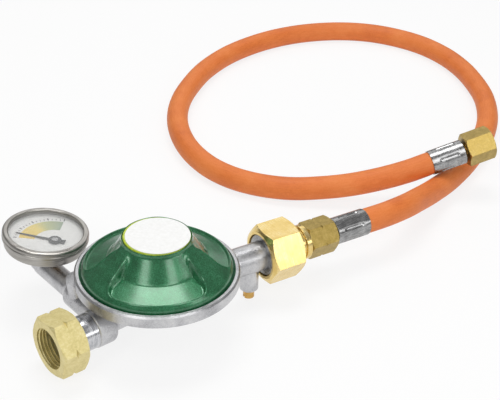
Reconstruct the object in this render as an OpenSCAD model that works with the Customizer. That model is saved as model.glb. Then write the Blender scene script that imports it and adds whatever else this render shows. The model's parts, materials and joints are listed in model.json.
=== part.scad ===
// Low-pressure gas regulator with a cylinder gauge, union outlet and a fitted hose.
// The origin is the centre of the inlet nut's open mouth. X runs along the inlet axis
// into the body, Z is up, and the diaphragm lies flat over the inlet axis.

/* [Fits] */
// Radial clearance of turning and sliding fits
run_play = 0.05; // [0.03:0.01:0.1]
// Clearance of pieces that are pushed together and stay put
seat_play = 0.1; // [0.05:0.05:0.2]
// Clear space between pieces that pass each other
pass_gap = 0.3; // [0.3:0.05:0.4]

/* [Body casting] */
// Distance from the inlet mouth to the diaphragm axis
body_x = 60.5; // [59:0.5:66]
// Outside diameter of the clamped rim
rim_d = 78; // [76:0.5:82]
// Height of the rim's top over the inlet axis
rim_z = 18.6; // [18.4:0.1:19.6]
// Height of the rim's straight side
rim_h = 5.6; // [5.2:0.1:6.2]
// Bevel on the rim's top edge
rim_bevel = 0.8; // [0.4:0.1:1]
// Wall of the rim outside the clamped stack
rim_wall = 1.2; // [1:0.1:1.4]
// Width of the lip that is rolled over the lid's flange
lip_w = 2.1; // [1.9:0.1:2.4]
// Thickness of the rolled lip
lip_t = 1.4; // [1.2:0.1:1.6]
// Depth of the bowl below the rim's top
bowl_depth = 24.5; // [24:0.1:26]
// Radius of the bowl's flat floor, outside
floor_r = 13; // [12.5:0.1:14]
// How far inside the rim the bowl's flank starts
flank_in = 6; // [5:0.1:7]
// Depth below the rim's top at which the flank starts
flank_depth = 9.5; // [9:0.1:10]
// Wall of the casting
wall = 2.5; // [2.2:0.1:2.8]

/* [Inlet] */
// Width across flats of the inlet nut
inlet_af = 26.5; // [26:0.5:30]
// Length of the inlet nut
inlet_nut_l = 13.5; // [12.5:0.5:15]
// Minor radius of the inlet thread
inlet_thread_r = 10; // [9.7:0.1:10.4]
// Depth of the inlet nut's hollow, up to its back wall
inlet_depth = 10.5; // [10:0.5:11]
// Length of the inlet thread, in front of the relief groove that the collar and seal lie in
inlet_thread_l = 6.9; // [6.4:0.1:6.9]
// Radius of the relief groove behind the inlet thread
inlet_relief_r = 10.6; // [10.5:0.1:11]
// Angle of the inlet nut's first corner above the horizontal
inlet_roll = 10; // [0:1:59]
// Length of the chamfer at the inlet nut's corners
inlet_chamfer = 1.1; // [0.6:0.1:1.1]
// Radius of the spigot that carries the nut
spigot_r = 8.6; // [8.2:0.1:8.8]
// Thickness of the spigot's collar inside the nut
collar_t = 1.8; // [1.5:0.1:2.2]
// Radius of the spigot's end that is screwed into the boss
spigot_root_r = 6.4; // [6:0.1:6.8]
// Length of the spigot's end that is screwed into the boss
spigot_root_l = 5; // [4.5:0.5:6]
// Radius of the gas way through the spigot
inlet_bore_r = 3.5; // [3:0.1:4]
// Thickness of the rubber seal on the collar
inlet_seal_t = 1.5; // [1.2:0.1:2]
// Radius of the inlet boss on the casting
boss_r = 9; // [8.8:0.1:10]
// Distance from the boss's face to the diaphragm axis
boss_reach = 38; // [37:0.5:39]

/* [Valve] */
// Distance from the nozzle's tip to the diaphragm axis
nozzle_back = 14.5; // [14:0.1:15]
// Radius of the nozzle's body
nozzle_r = 3.9; // [3.6:0.1:4.2]
// Radius of the nozzle's orifice
orifice_r = 0.9; // [0.6:0.1:1.2]
// Gap between the nozzle and the seat pad when the valve is open
valve_gap = 0.95; // [0.95:0.05:1.2]
// Radius of the plunger
plunger_r = 2.6; // [2.4:0.1:2.7]
// Radius of the plunger's thin middle
plunger_waist_r = 1.8; // [1.6:0.1:1.9]
// Distance from the diaphragm axis to the lever pin
lever_long = 8; // [7.8:0.1:8.4]
// Height of the lever pin over the inlet axis
lever_short = 4.8; // [4.7:0.1:5.2]
// Radius of the lever pin
pin_r = 1; // [0.8:0.1:1.1]
// Width of the lever at its hub
lever_w = 4; // [3.6:0.1:4.4]

/* [Lid and spring] */
// Thickness of the lid's clamped flange
flange_t = 1.4; // [1.2:0.1:1.6]
// Thickness of the diaphragm's clamped bead
bead_t = 1.8; // [1.6:0.1:2]
// Height of the lid's tower over the rim's top
tower_h = 17.3; // [17:0.1:19]
// Radius of the tower's top face
tower_r = 16.2; // [16:0.1:17]
// Radius where a pocket's back wall meets its floor
pocket_r = 26; // [25:0.5:27]
// Height over the rim's top where a pocket's back wall meets its floor
pocket_h = 6; // [5.5:0.1:6.5]
// Distance from the lid's edge to the foot of the pockets and ridges
lid_band = 2.8; // [2.4:0.1:3.2]
// Height of that foot over the rim's top
lid_band_h = 2; // [1.8:0.1:2.4]
// Half the angle that a ridge takes
ridge_half = 16; // [14:1:22]
// Direction of the first ridge
lid_turn = 54.5; // [0:0.5:119]
// Wall of the lid
lid_wall = 1.7; // [1.4:0.1:1.8]
// Radius of the vent hole in one pocket
vent_r = 0.9; // [0.6:0.1:1.2]
// Radius of the tower's bore, which takes the adjusting screw
tower_bore_r = 12.5; // [12.2:0.1:12.8]
// Thickness of the cap that closes the tower
cap_t = 1; // [0.8:0.1:1.4]
// Radius of the bare label disc
label_r = 15.2; // [14:0.1:15.4]
// How far the label sits off the cap's centre
label_shift = 0.5; // [0:0.1:0.6]
// Thickness of the label disc
label_t = 0.3; // [0.2:0.1:0.5]
// Mean radius of the regulating spring
spring_r = 8.6; // [8:0.1:9]
// Wire diameter of the regulating spring
spring_wire = 1.2; // [1:0.1:1.3]
// Number of turns of the regulating spring
spring_turns = 4; // [3:0.5:4]
// Height of the adjusting screw's underside over the rim's top
screw_h = 10.5; // [10:0.1:11.5]

/* [Gauge] */
// Outside diameter of the bezel
gauge_d = 42; // [40:0.2:44]
// Height of the gauge from the case's bottom to the bezel's top
gauge_h = 8.6; // [8.4:0.1:9.6]
// Height of the bezel's top over the inlet axis
gauge_z = 23; // [22.8:0.1:24]
// Clear space between the rim and the bezel, seen from above
gauge_gap = 0.6; // [0.5:0.05:2]
// Direction of the gauge from the diaphragm axis
gauge_azimuth = 117; // [117:0.5:119]
// How far the dial is turned
gauge_turn = -40.5; // [-60:0.5:0]
// How far the gauge leans to the dial's right
gauge_lean = 6; // [4:0.5:7]
// Pointer pivot, right of the dial's centre
pivot_u = 5.1; // [4.6:0.1:5.4]
// Pointer pivot, below the dial's centre
pivot_v = 3.6; // [3.2:0.1:4]
// Length of the pointer from its pivot
pointer_l = 19.6; // [17:0.1:19.8]
// Direction of the pointer when there is no pressure
pointer_zero = 171.6; // [168:0.2:174]
// Radius of the gauge arm's thick root
arm_root_r = 7.5; // [7:0.1:8]
// Radius of the gauge arm's neck
arm_neck_r = 5.5; // [5:0.1:6]
// Length of the thick root from the inlet axis
arm_root_l = 26; // [24:0.5:28]
// Height of the arm over the inlet axis
arm_z = 2.5; // [2.2:0.1:3]
// Radius of the gusset that ties the arm to the rim
gusset_r = 6.8; // [6.4:0.1:7.2]
// Distance of that gusset from the inlet axis
gusset_y = 20; // [19:0.5:21]
// Radius of the gauge's seat on the arm
seat_r = 6.5; // [6.2:0.1:7]

/* [Outlet] */
// Direction of the outlet
outlet_turn = -8; // [-15:0.5:0]
// Height of the outlet over the inlet axis
outlet_z = 6.5; // [6.2:0.1:7]
// Radius of the outlet tube
outlet_r = 7.35; // [7:0.05:7.6]
// Radius of the gas way through the outlet
outlet_bore_r = 4.5; // [4:0.1:4.8]
// Distance from the rim to the outlet's sealing face
outlet_l = 24; // [23.5:0.5:27]
// Radius of the flange at the outlet's end
outlet_flange_r = 9.4; // [9:0.1:9.6]
// Thickness of the flange at the outlet's end
outlet_flange_t = 2.9; // [2.5:0.1:3.4]
// Distance from the rim to the test boss
test_l = 12.2; // [11.8:0.1:13]
// Radius of the test boss
test_boss_r = 4.75; // [4.4:0.05:5]
// Depth of the test boss below the inlet axis
test_boss_z = 11.4; // [10.8:0.1:11.4]
// Radius of the test screw's head
test_head_r = 2.85; // [2.6:0.05:3.2]
// Height of the test screw's head
test_head_h = 4.5; // [4:0.1:4.6]
// Radius of the test screw's shank
test_shank_r = 2; // [1.8:0.1:2.2]

/* [Union] */
// Width across flats of the union nut
union_af = 27; // [26:0.5:30]
// Length of the union nut
union_l = 19.2; // [18.5:0.1:21]
// Angle of the union nut's first corner above the horizontal
union_roll = 58; // [0:1:59]
// Length of the chamfer at the union nut's corners
union_chamfer = 2; // [1:0.1:2.2]
// Thickness of the ring that holds the nut on the tube
ring_t = 2.2; // [1.8:0.1:2.6]
// Radius of the union thread
union_thread_r = 10.3; // [10:0.1:10.6]
// How deep the ring is sunk into the nut
ring_sunk = 0.6; // [0.4:0.1:1]
// Thickness of the flat washer
washer_t = 1.8; // [1.4:0.1:2.2]
// Length of the adaptor's bare neck outside the union nut
adaptor_neck = 3.8; // [3:0.1:5]
// Radius of the adaptor's shoulder
shoulder_r = 9; // [8.6:0.1:9.4]
// Thickness of the adaptor's shoulder
shoulder_t = 2.9; // [2.4:0.1:3.4]

/* [Hose and fittings] */
// Outside diameter of the hose
hose_d = 13.3; // [12.8:0.1:13.8]
// Bore of the hose
hose_bore_d = 6.4; // [6.2:0.1:6.8]
// Width across flats of the hose nuts
hose_af = 17; // [17:0.5:19]
// Length of a hose nut
hose_nut_l = 16.2; // [15.5:0.1:17]
// Angle of the near nut's first corner above the horizontal
near_roll = 55; // [0:1:59]
// Angle of the far nut's first corner above the horizontal
far_roll = 6; // [0:1:59]
// Length of the chamfer at the hose nuts' corners
hose_chamfer = 0.7; // [0.5:0.05:0.75]
// Minor radius of the hose nut's thread
hose_thread_r = 5.75; // [5.6:0.05:6]
// Thickness of a hose nut's back wall
hose_nut_back = 5; // [4.5:0.1:5.5]
// Radius of the relief groove behind a hose nut's thread
hose_relief_r = 6.2; // [6.1:0.1:6.5]
// Length of the relief groove that the tail's head and nose lie in
hose_relief_l = 3.8; // [3.7:0.1:4.2]
// Radius of a hose tail in its nut
tail_r = 4.6; // [4.4:0.1:4.8]
// Bare length of a tail between nut and ferrule
tail_neck = 1; // [0.8:0.1:1.4]
// Outside radius of a ferrule
ferrule_r = 7.1; // [7:0.05:7.3]
// Wall of a ferrule
ferrule_wall = 0.8; // [0.7:0.05:0.9]
// Length of a ferrule
ferrule_l = 20.5; // [19:0.5:22]
// Depth of the crimp dents in a ferrule
dent_depth = 0.45; // [0.2:0.05:0.5]
// Number of crimp dents round a ferrule
dents = 6; // [4:1:8]
// Heading of the far fitting from the outlet's direction
far_turn = -16; // [-20:1:-12]
// Angle by which the far fitting points up
far_lift = 15; // [12:1:18]

/* [Hidden] */
$fn = 64;

// Colours of the materials
zinc = [0.76, 0.77, 0.79];
steel = [0.80, 0.81, 0.83];
brass = [0.80, 0.66, 0.34];
pale_brass = [0.83, 0.76, 0.55];
olive_brass = [0.66, 0.58, 0.32];
green = [0.20, 0.52, 0.42];
lime = [0.62, 0.74, 0.20];
white = [0.96, 0.96, 0.95];
rubber = [0.12, 0.12, 0.12];
orange = [0.88, 0.50, 0.27];
glass = [0.90, 0.94, 0.95, 0.4];

// How far a cutting tool reaches past the face that it cuts
cut = 1;

// Rim stack, from the rim's top down
rim_r = rim_d / 2;
stack_r = rim_r - rim_wall;
lip_r = rim_r - lip_w;
lid_z = rim_z - lip_t;
bead_z = lid_z - flange_t;
ledge_z = bead_z - bead_t;
lid_r = lip_r - seat_play;
clamp_r = stack_r - seat_play;

// Bowl flank: a straight cone outside, and one parallel to it inside
flank_r = rim_r - flank_in;
flank_z = rim_z - flank_depth;
floor_z = rim_z - bowl_depth;
flank_slope = (flank_z - floor_z) / (flank_r - floor_r);
flank_shift = wall / sin(atan(flank_slope));
inner_floor_z = floor_z + wall;
ledge_w = 6.8;
function inner_flank_r(z) = flank_r - flank_shift - (flank_z - z) / flank_slope;

// Inlet stations along X
collar_x = inlet_depth - collar_t;
boss_x = body_x - boss_reach;
root_x = boss_x + spigot_root_l;
chamber_l = 2;
nozzle_head_l = 2;
nozzle_x = root_x + chamber_l;
tip_x = body_x - nozzle_back;
nozzle_head_r = spigot_root_r - 2 * seat_play;
boss_end = nozzle_x + nozzle_head_l + wall / 2;
neck_r = nozzle_r + seat_play + wall / 2;

// Valve stations
pad_t = 1.2;
pad_r = 1.8;
pad_x = tip_x + valve_gap;
guide_l = 6;
guide_x = pad_x + 1.4;
guide_r = plunger_r + run_play + 2.3;
plunger_nose_l = guide_l + 2.4;
pin_x = body_x + lever_long;
pin_z = lever_short;
toe_r = 1.2;
toe_w = 2.4;
tip_r = 1;
tip_w = 2.6;
arm_t = 1.2;
hub_r = pin_r + run_play + 1.3;
tail_slot = 2 * (toe_r + pass_gap);
plunger_tail_l = tail_slot + 2.4;
ear_t = 2;
ear_y = lever_w / 2 + pass_gap;
ear_r = pin_r + 1.6;

// Diaphragm and what it carries
skin_t = 1;
skin_z = ledge_z + 0.3;
plate_t = 1.1;
plate_z = skin_z + skin_t;
plate_r = 20;
roll_r0 = 24;
roll_r1 = stack_r - 4.6;
roll_h = 3;
stem_r = 3;
stem_hole_r = 2.5;
stem_flange_r = 6;
stem_flange_t = 1.2;
stem_head_r = 4.2;
stem_head_t = 1.2;
window = tip_r + pass_gap;
stem_foot = 1;

// Lid stations over the rim's top
tower_z = rim_z + tower_h;
inner_shift = lid_wall * 0.71;
cap_z = tower_z + cap_t;
cap_r = tower_r - 0.4;
plug_l = 2.2;
screw_z = rim_z + screw_h;
screw_t = 3.2;
spring_z0 = plate_z + plate_t;
ridges = 3;

// Gauge place
bezel_r = gauge_d / 2;
gauge_dist = rim_r + bezel_r + gauge_gap;
gauge_x = body_x + gauge_dist * cos(gauge_azimuth);
gauge_y = gauge_dist * sin(gauge_azimuth);
lean_shift = (gauge_z - arm_z) * tan(gauge_lean);
arm_x = gauge_x - lean_shift * cos(gauge_turn);
arm_y = gauge_y - lean_shift * sin(gauge_turn);

// Gauge heights below the bezel's top
case_r = bezel_r - 1;
case_wall = 0.6;
lens_top = -1.1;
lens_t = 0.9;
dial_top = -3.5;
dial_t = 0.4;
case_floor_t = 0.8;
case_floor = -gauge_h + case_floor_t;
plate_top = case_floor + 0.6;
bridge_top = dial_top - dial_t;
bridge_t = 0.5;
gear_z = plate_top + 0.8;
gear_t = 1;
pinion_t = 1.5;
pointer_z = dial_top + 0.35;
pointer_t = 0.3;
opening_r = bezel_r - 3;
stem_collar_t = 2;
gauge_seal_t = 1;
seat_top = -gauge_h - stem_collar_t - gauge_seal_t;
gauge_thread_r = 4;
gauge_thread_l = 6;

// Gauge gearing: a pinion on the pointer's arbor and a toothed sector
gear_module = 0.4;
pinion_teeth = 10;
sector_teeth = 60;
pinion_pr = gear_module * pinion_teeth / 2;
sector_pr = gear_module * sector_teeth / 2;
pivot = [pivot_u, -pivot_v];
mesh_angle = -24.5;
sector_at = pivot - (pinion_pr + sector_pr) * [cos(mesh_angle), sin(mesh_angle)];
tooth_share = 0.38;
tip_share = 0.18;
addendum = 0.3;
dedendum = 0.5;
sector_first = -4;
sector_last = 2;
sector_tail_l = 4;
arbor_r = 0.5;
tube_r = 15;
tube_w = 1.6;
tube_h = 2.2;
tube_sweep = 250;
tube_start = 250;
foot_w = 3;
foot_t = 0.5;

// Outlet stations from the diaphragm axis
face_d = rim_r + outlet_l;
ring_d = face_d - outlet_flange_t - ring_t;
union_d = ring_d - ring_sunk;
adaptor_d = face_d + washer_t;
shoulder_d = union_d + union_l + adaptor_neck;
nut_gap = 0.1;
near_nut_d = shoulder_d + shoulder_t + nut_gap;
fitting_l = ferrule_l + tail_neck + hose_nut_l;
mouth_d = near_nut_d + fitting_l;
test_d = rim_r + test_l;
ring_r = union_thread_r + 0.5;
union_bore_r = union_thread_r + seat_play;

// Hose: stations along the hose fitting are measured from the ferrule's mouth
hose_r = hose_d / 2;
hose_sides = 12;
grip_l = ferrule_l - 2;
grip_r = ferrule_r - ferrule_wall - seat_play;
nipple_r = hose_bore_d / 2 * cos(180 / hose_sides) - run_play;
nut_at = ferrule_l + tail_neck;
ferrule_back_t = 1.2;
tail_head_t = 1.4;
nose_r = hose_thread_r - 1.3;
nose_l = 2;
nose_play = 0.1;

// Route of the hose from the near ferrule's mouth, along the outlet and beside it
table = -15.85;
route = [[14, 0, 0], [30, 3.5, -1.8], [45.5, 11, -6.2], [65.5, 21, -11.6], [87.5, 31.5, -15.2],
    [109.5, 42.5, table], [131.5, 56, table], [148.5, 69, table], [163.5, 84, table],
    [177.5, 103, table], [187.5, 123, table], [195.5, 146, table], [199, 170, table],
    [196.5, 194, table], [187.5, 215, table], [174.5, 231.5, table], [156.5, 244, table],
    [134, 252, table], [109.5, 254.5, table], [84.5, 251.5, table], [60.5, 244, table],
    [36.5, 231, table], [16, 214.5, table], [-0.5, 197.5, table], [-13.5, 178.5, table],
    [-22.5, 158, table], [-27.5, 136, table], [-27.5, 114.5, table], [-22.5, 96.5, table],
    [-13, 81, -15.7], [-0.5, 68, -15], [13.5, 58, -13.4], [28, 49.5, -11.2], [43.5, 42.4, -8.2],
    [59, 36.7, -4.6]];
route_end = [72, 33, -1];
end_dir = [cos(far_lift) * cos(far_turn), cos(far_lift) * sin(far_turn), sin(far_lift)];

// Outlines and frames that several pieces use

// Hexagon prism along X, corners turned up by roll degrees, both ends turned off at 30 degrees
module hex_bar(af, l, roll, chamfer) {
    corner_r = af / sqrt(3);
    end_r = corner_r - chamfer * sqrt(3);
    intersection() {
        rotate([0, 90, 0])
            rotate(-90 - roll)
                cylinder(r = corner_r, h = l, $fn = 6);
        rotate([30 - roll, 0, 0])
            along_x()
                polygon([[0, 0], [end_r, 0], [corner_r, chamfer], [corner_r, l - chamfer], [end_r, l], [0, l]]);
    }
}

// Turns a profile of radius and distance round the X axis
module along_x() {
    rotate([90, 0, 90])
        rotate_extrude()
            children();
}

// Turns a profile of radius and height round the diaphragm axis
module about_body() {
    translate([body_x, 0, 0])
        rotate_extrude()
            children();
}

// Plain cylinder along X between two stations
module rod_x(r, x0, x1) {
    translate([x0, 0, 0])
        rotate([0, 90, 0])
            cylinder(r = r, h = x1 - x0);
}

// V groove round a hexagon that nicks only its corners
module corner_nick(af, at, roll) {
    corner_r = af / sqrt(3);
    depth = (corner_r - af / 2) * 0.6;
    half_w = depth * 0.7;
    rotate([30 - roll, 0, 0])
        along_x()
            polygon([[corner_r - depth, at], [corner_r + cut, at - half_w - cut],
                [corner_r + cut, at + half_w + cut]]);
}

module at_outlet() {
    translate([body_x, 0, outlet_z])
        rotate(outlet_turn)
            children();
}

module at_near_mouth() {
    at_outlet()
        translate([mouth_d, 0, 0])
            rotate(180)
                children();
}

module at_far_mouth() {
    at_outlet()
        translate([mouth_d, 0, 0] + route_end)
            rotate([0, -far_lift, far_turn])
                children();
}

module at_gauge() {
    translate([gauge_x, gauge_y, gauge_z])
        rotate(gauge_turn)
            rotate([0, gauge_lean, 0])
                children();
}

// Body casting

module bowl() {
    shoulder_z = rim_z - rim_h;
    about_body()
        difference() {
            polygon([[0, floor_z], [floor_r, floor_z], [flank_r, flank_z], [rim_r - 3.5, shoulder_z - 1.4],
                [rim_r, shoulder_z], [rim_r, rim_z - rim_bevel], [rim_r - rim_bevel, rim_z], [lip_r, rim_z],
                [0, rim_z]]);
            polygon([[0, inner_floor_z], [inner_flank_r(inner_floor_z), inner_floor_z],
                [inner_flank_r(flank_z), flank_z], [stack_r - ledge_w, ledge_z], [stack_r, ledge_z],
                [stack_r, lid_z], [lip_r, lid_z], [lip_r, rim_z + cut], [0, rim_z + cut]]);
        }
}

module bowl_space() {
    about_body()
        polygon([[0, inner_floor_z], [inner_flank_r(inner_floor_z), inner_floor_z],
            [inner_flank_r(flank_z), flank_z], [inner_flank_r(flank_z), ledge_z], [0, ledge_z]]);
}

// Boss with a rounded end, and the slimmer neck that joins it to the bowl
module inlet_boss() {
    round_r = 2.5;
    steps = 5;
    along_x()
        polygon(concat([[0, boss_x], [boss_r - 0.4, boss_x], [boss_r, boss_x + 0.4]],
            [for (k = [0 : steps]) let(a = 90 * k / steps)
                [boss_r - round_r + round_r * cos(a), boss_end - round_r + round_r * sin(a)]],
            [[neck_r, boss_end], [neck_r, body_x - inner_flank_r(0) + wall],
                [0, body_x - inner_flank_r(0) + wall]]));
}

// Side arm: a thick root, a cone down to the neck and a round end under the gauge
module gauge_arm() {
    blend_l = 2 * (arm_root_r - arm_neck_r);
    end_steps = 6;
    translate([arm_x, 0, arm_z])
        rotate([-90, 0, 0])
            rotate_extrude()
                polygon(concat([[0, 0], [arm_root_r, 0], [arm_root_r, arm_root_l],
                    [arm_neck_r, arm_root_l + blend_l]],
                    [for (k = [0 : end_steps - 1]) let(a = 90 * k / end_steps)
                        [arm_neck_r * cos(a), arm_y + arm_neck_r * sin(a)]],
                    [[0, arm_y + arm_neck_r]]));
    translate([arm_x, gusset_y, arm_z])
        cylinder(r1 = gusset_r, r2 = gusset_r + 0.8, h = rim_z - rim_h + rim_bevel - arm_z);
    at_gauge()
        translate([0, 0, arm_z - gauge_z])
            cylinder(r = seat_r, h = gauge_z - arm_z + seat_top);
}

module outlet_tube() {
    boss_l = test_boss_z + outlet_z;
    chamfer = 0.8;
    at_outlet() {
        along_x()
            polygon([[0, floor_r], [outlet_r, floor_r], [outlet_r, face_d - outlet_flange_t],
                [outlet_flange_r, face_d - outlet_flange_t], [outlet_flange_r, face_d], [0, face_d]]);
        translate([test_d, 0, 0])
            rotate([180, 0, 0])
                rotate_extrude()
                    polygon([[0, 0], [test_boss_r, 0], [test_boss_r, boss_l - chamfer],
                        [test_boss_r - chamfer, boss_l], [0, boss_l]]);
    }
}

module lever_ears() {
    for (side = [-1, 1])
        translate([pin_x, side * (ear_y + ear_t / 2), 0])
            rotate([90, 0, 0]) {
                translate([0, pin_z, -ear_t / 2])
                    cylinder(r = ear_r, h = ear_t);
                translate([-ear_r, floor_z + wall / 2, -ear_t / 2])
                    cube([2 * ear_r, pin_z - floor_z - wall / 2, ear_t]);
            }
}

module plunger_guide() {
    rod_x(guide_r, guide_x, guide_x + guide_l);
}

module body_casting() {
    color(zinc)
        difference() {
            union() {
                bowl();
                difference() {
                    union() {
                        inlet_boss();
                        gauge_arm();
                        outlet_tube();
                    }
                    bowl_space();
                }
                lever_ears();
                plunger_guide();
            }
            rod_x(plunger_r + run_play, tip_x - cut, guide_x + guide_l + cut);
            rod_x(nozzle_r + seat_play, nozzle_x, tip_x);
            rod_x(spigot_root_r + seat_play, boss_x - cut, nozzle_x + nozzle_head_l);
            at_outlet()
                rod_x(outlet_bore_r, floor_r, face_d + cut);
            at_outlet()
                translate([test_d, 0, -test_boss_z - outlet_z - cut])
                    cylinder(r = test_shank_r + run_play, h = test_boss_z + outlet_z + cut);
            translate([pin_x, ear_y + ear_t + cut, pin_z])
                rotate([90, 0, 0])
                    cylinder(r = pin_r + run_play, h = 2 * (ear_y + ear_t + cut));
            translate([arm_x, 0, arm_z])
                rotate([-90, 0, 0])
                    cylinder(r = orifice_r * 2, h = arm_y);
            at_gauge()
                translate([0, 0, seat_top - gauge_thread_l])
                    cylinder(r = gauge_thread_r + seat_play, h = gauge_thread_l + cut);
            at_gauge()
                translate([0, 0, arm_z - gauge_z])
                    cylinder(r = orifice_r * 2, h = gauge_z - arm_z);
        }
}

// Lid, spring and diaphragm

module lid_outline(inset, edge_r, bottom) {
    polygon([[0, bottom], [edge_r - inset, bottom], [edge_r - inset, rim_z - inset],
        [edge_r - lid_band - inset, rim_z + lid_band_h - inset], [pocket_r - inset, rim_z + pocket_h - inset],
        [tower_r - inset, tower_z - inset], [0, tower_z - inset]]);
}

module ridge_outline(inset, edge_r, bottom) {
    polygon([[0, bottom], [edge_r - inset, bottom], [edge_r - inset, rim_z - inset],
        [edge_r - lid_band / 2 - inset, rim_z + lid_band_h - inset], [tower_r - inset, tower_z - inset],
        [0, tower_z - inset]]);
}

module ridge_sectors(half) {
    reach = 2 * rim_r;
    for (k = [0 : ridges - 1])
        translate([body_x, 0, 0])
            rotate(lid_turn + k * 360 / ridges)
                linear_extrude(tower_z + cut)
                    polygon([[0, 0], [reach * cos(half), -reach * sin(half)],
                        [reach * cos(half), reach * sin(half)]]);
}

// The dome with its ridges, drawn in by inset for the space inside it
module lid_form(inset, half, edge_r, bottom) {
    about_body()
        lid_outline(inset, edge_r, bottom);
    intersection() {
        about_body()
            ridge_outline(inset, edge_r, bottom);
        ridge_sectors(half);
    }
}

module lid() {
    inner_half = ridge_half - atan(lid_wall / pocket_r);
    color(green)
        difference() {
            union() {
                lid_form(0, ridge_half, lid_r, bead_z);
                about_body()
                    polygon([[0, bead_z], [clamp_r, bead_z], [clamp_r, lid_z], [0, lid_z]]);
            }
            difference() {
                lid_form(inner_shift, inner_half, lid_r - lid_wall, bead_z - cut);
                about_body()
                    polygon([[0, screw_z - cut], [tower_r * 2, screw_z - cut], [tower_r * 2, tower_z], [0, tower_z]]);
            }
            about_body()
                polygon([[0, rim_z], [tower_bore_r, rim_z], [tower_bore_r, tower_z + cut], [0, tower_z + cut]]);
            translate([body_x, 0, 0])
                rotate(lid_turn + 2.5 * 360 / ridges)
                    translate([(pocket_r + lid_r - lid_band) / 2, 0, rim_z])
                        cylinder(r = vent_r, h = tower_h);
        }
}

module top_cap() {
    plug_r = tower_bore_r - seat_play;
    color(lime)
        about_body()
            polygon([[plug_r - lid_wall, tower_z - plug_l], [plug_r, tower_z - plug_l], [plug_r, tower_z],
                [cap_r, tower_z], [cap_r, cap_z - cap_t / 3], [cap_r - cap_t / 3, cap_z], [0, cap_z],
                [0, tower_z], [plug_r - lid_wall, tower_z]]);
}

module label_disc() {
    shift_turn = gauge_turn;
    color(white)
        translate([body_x, 0, cap_z])
            rotate(shift_turn)
                translate([label_shift, 0, 0])
                    cylinder(r = label_r, h = label_t);
}

module adjusting_screw() {
    socket_r = 4.6;
    land_r = spring_r - spring_wire / 2 - pass_gap;
    land_h = spring_wire * 0.8;
    color(brass)
        translate([body_x, 0, screw_z])
            difference() {
                union() {
                    cylinder(r = tower_bore_r - seat_play, h = screw_t);
                    translate([0, 0, -land_h])
                        cylinder(r = land_r, h = land_h);
                }
                translate([0, 0, -land_h - cut])
                    cylinder(r = socket_r, h = screw_t + land_h + 2 * cut, $fn = 6);
            }
}

// One unbroken wire from the plate up to the adjusting screw, its end turns closed
module regulating_spring() {
    steps = 16;
    sides = 6;
    wire_r = spring_wire / 2;
    gap = 0.45;
    z0 = spring_z0 + wire_r;
    z1 = screw_z - wire_r;
    lift = spring_wire + gap;
    turns = spring_turns + 2;
    rings = round(turns * steps);
    function height(t) = t < 1 ? z0 + t * lift
        : t > turns - 1 ? z1 - (turns - t) * lift
        : z0 + lift + (z1 - z0 - 2 * lift) * (t - 1) / (turns - 2);
    function wire(t, a) = let(r = spring_r + wire_r * cos(a))
        [r * cos(360 * t), r * sin(360 * t), height(t) + wire_r * sin(a)];
    points = [for (i = [0 : rings], j = [0 : sides - 1]) wire(i / steps, 360 * j / sides)];
    closest = min([for (i = [steps : rings]) height(i / steps) - height(i / steps - 1)]) - spring_wire;
    echo(least_gap_between_spring_turns = closest);
    color(steel)
        translate([body_x, 0, 0])
            tube_skin(points, rings, sides);
}

// Closed solid over rings of points, with flat ends
module tube_skin(points, rings, sides) {
    walls = [for (i = [0 : rings - 1], j = [0 : sides - 1])
        let(a = i * sides + j, b = i * sides + (j + 1) % sides)
            each [[a, b, b + sides], [a, b + sides, a + sides]]];
    last = rings * sides;
    ends = [for (j = [1 : sides - 2]) each [[0, j + 1, j], [last, last + j, last + j + 1]]];
    polyhedron(points, concat(walls, ends), convexity = 8);
}

// Rubber skin with a clamped bead and one rolled fold
module diaphragm() {
    fold_steps = 10;
    function fold(k, lift) = let(s = k / fold_steps)
        [roll_r0 + (roll_r1 - roll_r0) * s, skin_z + lift + roll_h * sin(180 * s)];
    color(rubber)
        about_body()
            polygon(concat([[stem_hole_r + seat_play, skin_z]],
                [for (k = [0 : fold_steps]) fold(k, 0)],
                [[roll_r1 + 0.5, ledge_z], [clamp_r, ledge_z], [clamp_r, bead_z], [roll_r1 + 0.5, bead_z]],
                [for (k = [fold_steps : -1 : 0]) fold(k, skin_t)],
                [[stem_hole_r + seat_play, skin_z + skin_t]]));
}

module diaphragm_plate() {
    guide_wall = 1;
    ring_r0 = spring_r + spring_wire / 2 + pass_gap;
    edge_h = 1.2;
    color(steel)
        about_body()
            polygon([[stem_hole_r + seat_play, plate_z], [plate_r, plate_z], [plate_r + 0.6, plate_z + 0.6],
                [plate_r + 0.6, plate_z + plate_t + edge_h], [plate_r - 0.4, plate_z + plate_t + edge_h],
                [plate_r - 0.4, plate_z + plate_t], [ring_r0 + guide_wall, plate_z + plate_t],
                [ring_r0 + guide_wall, plate_z + plate_t + edge_h], [ring_r0, plate_z + plate_t + edge_h],
                [ring_r0, plate_z + plate_t], [stem_hole_r + seat_play, plate_z + plate_t]]);
}

module diaphragm_stem() {
    foot_z = pin_z - window - stem_foot;
    slot_w = tip_w + 2 * pass_gap;
    color(brass)
        difference() {
            about_body()
                polygon([[0, foot_z], [stem_r, foot_z], [stem_r, skin_z - stem_flange_t],
                    [stem_flange_r, skin_z - stem_flange_t], [stem_flange_r, skin_z], [stem_hole_r, skin_z],
                    [stem_hole_r, plate_z + plate_t], [stem_head_r, plate_z + plate_t],
                    [stem_head_r - 0.5, plate_z + plate_t + stem_head_t], [0, plate_z + plate_t + stem_head_t]]);
            translate([body_x - stem_r - cut, -slot_w / 2, pin_z - window])
                cube([2 * (stem_r + cut), slot_w, 2 * window]);
        }
}

// Lever and valve

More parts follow.
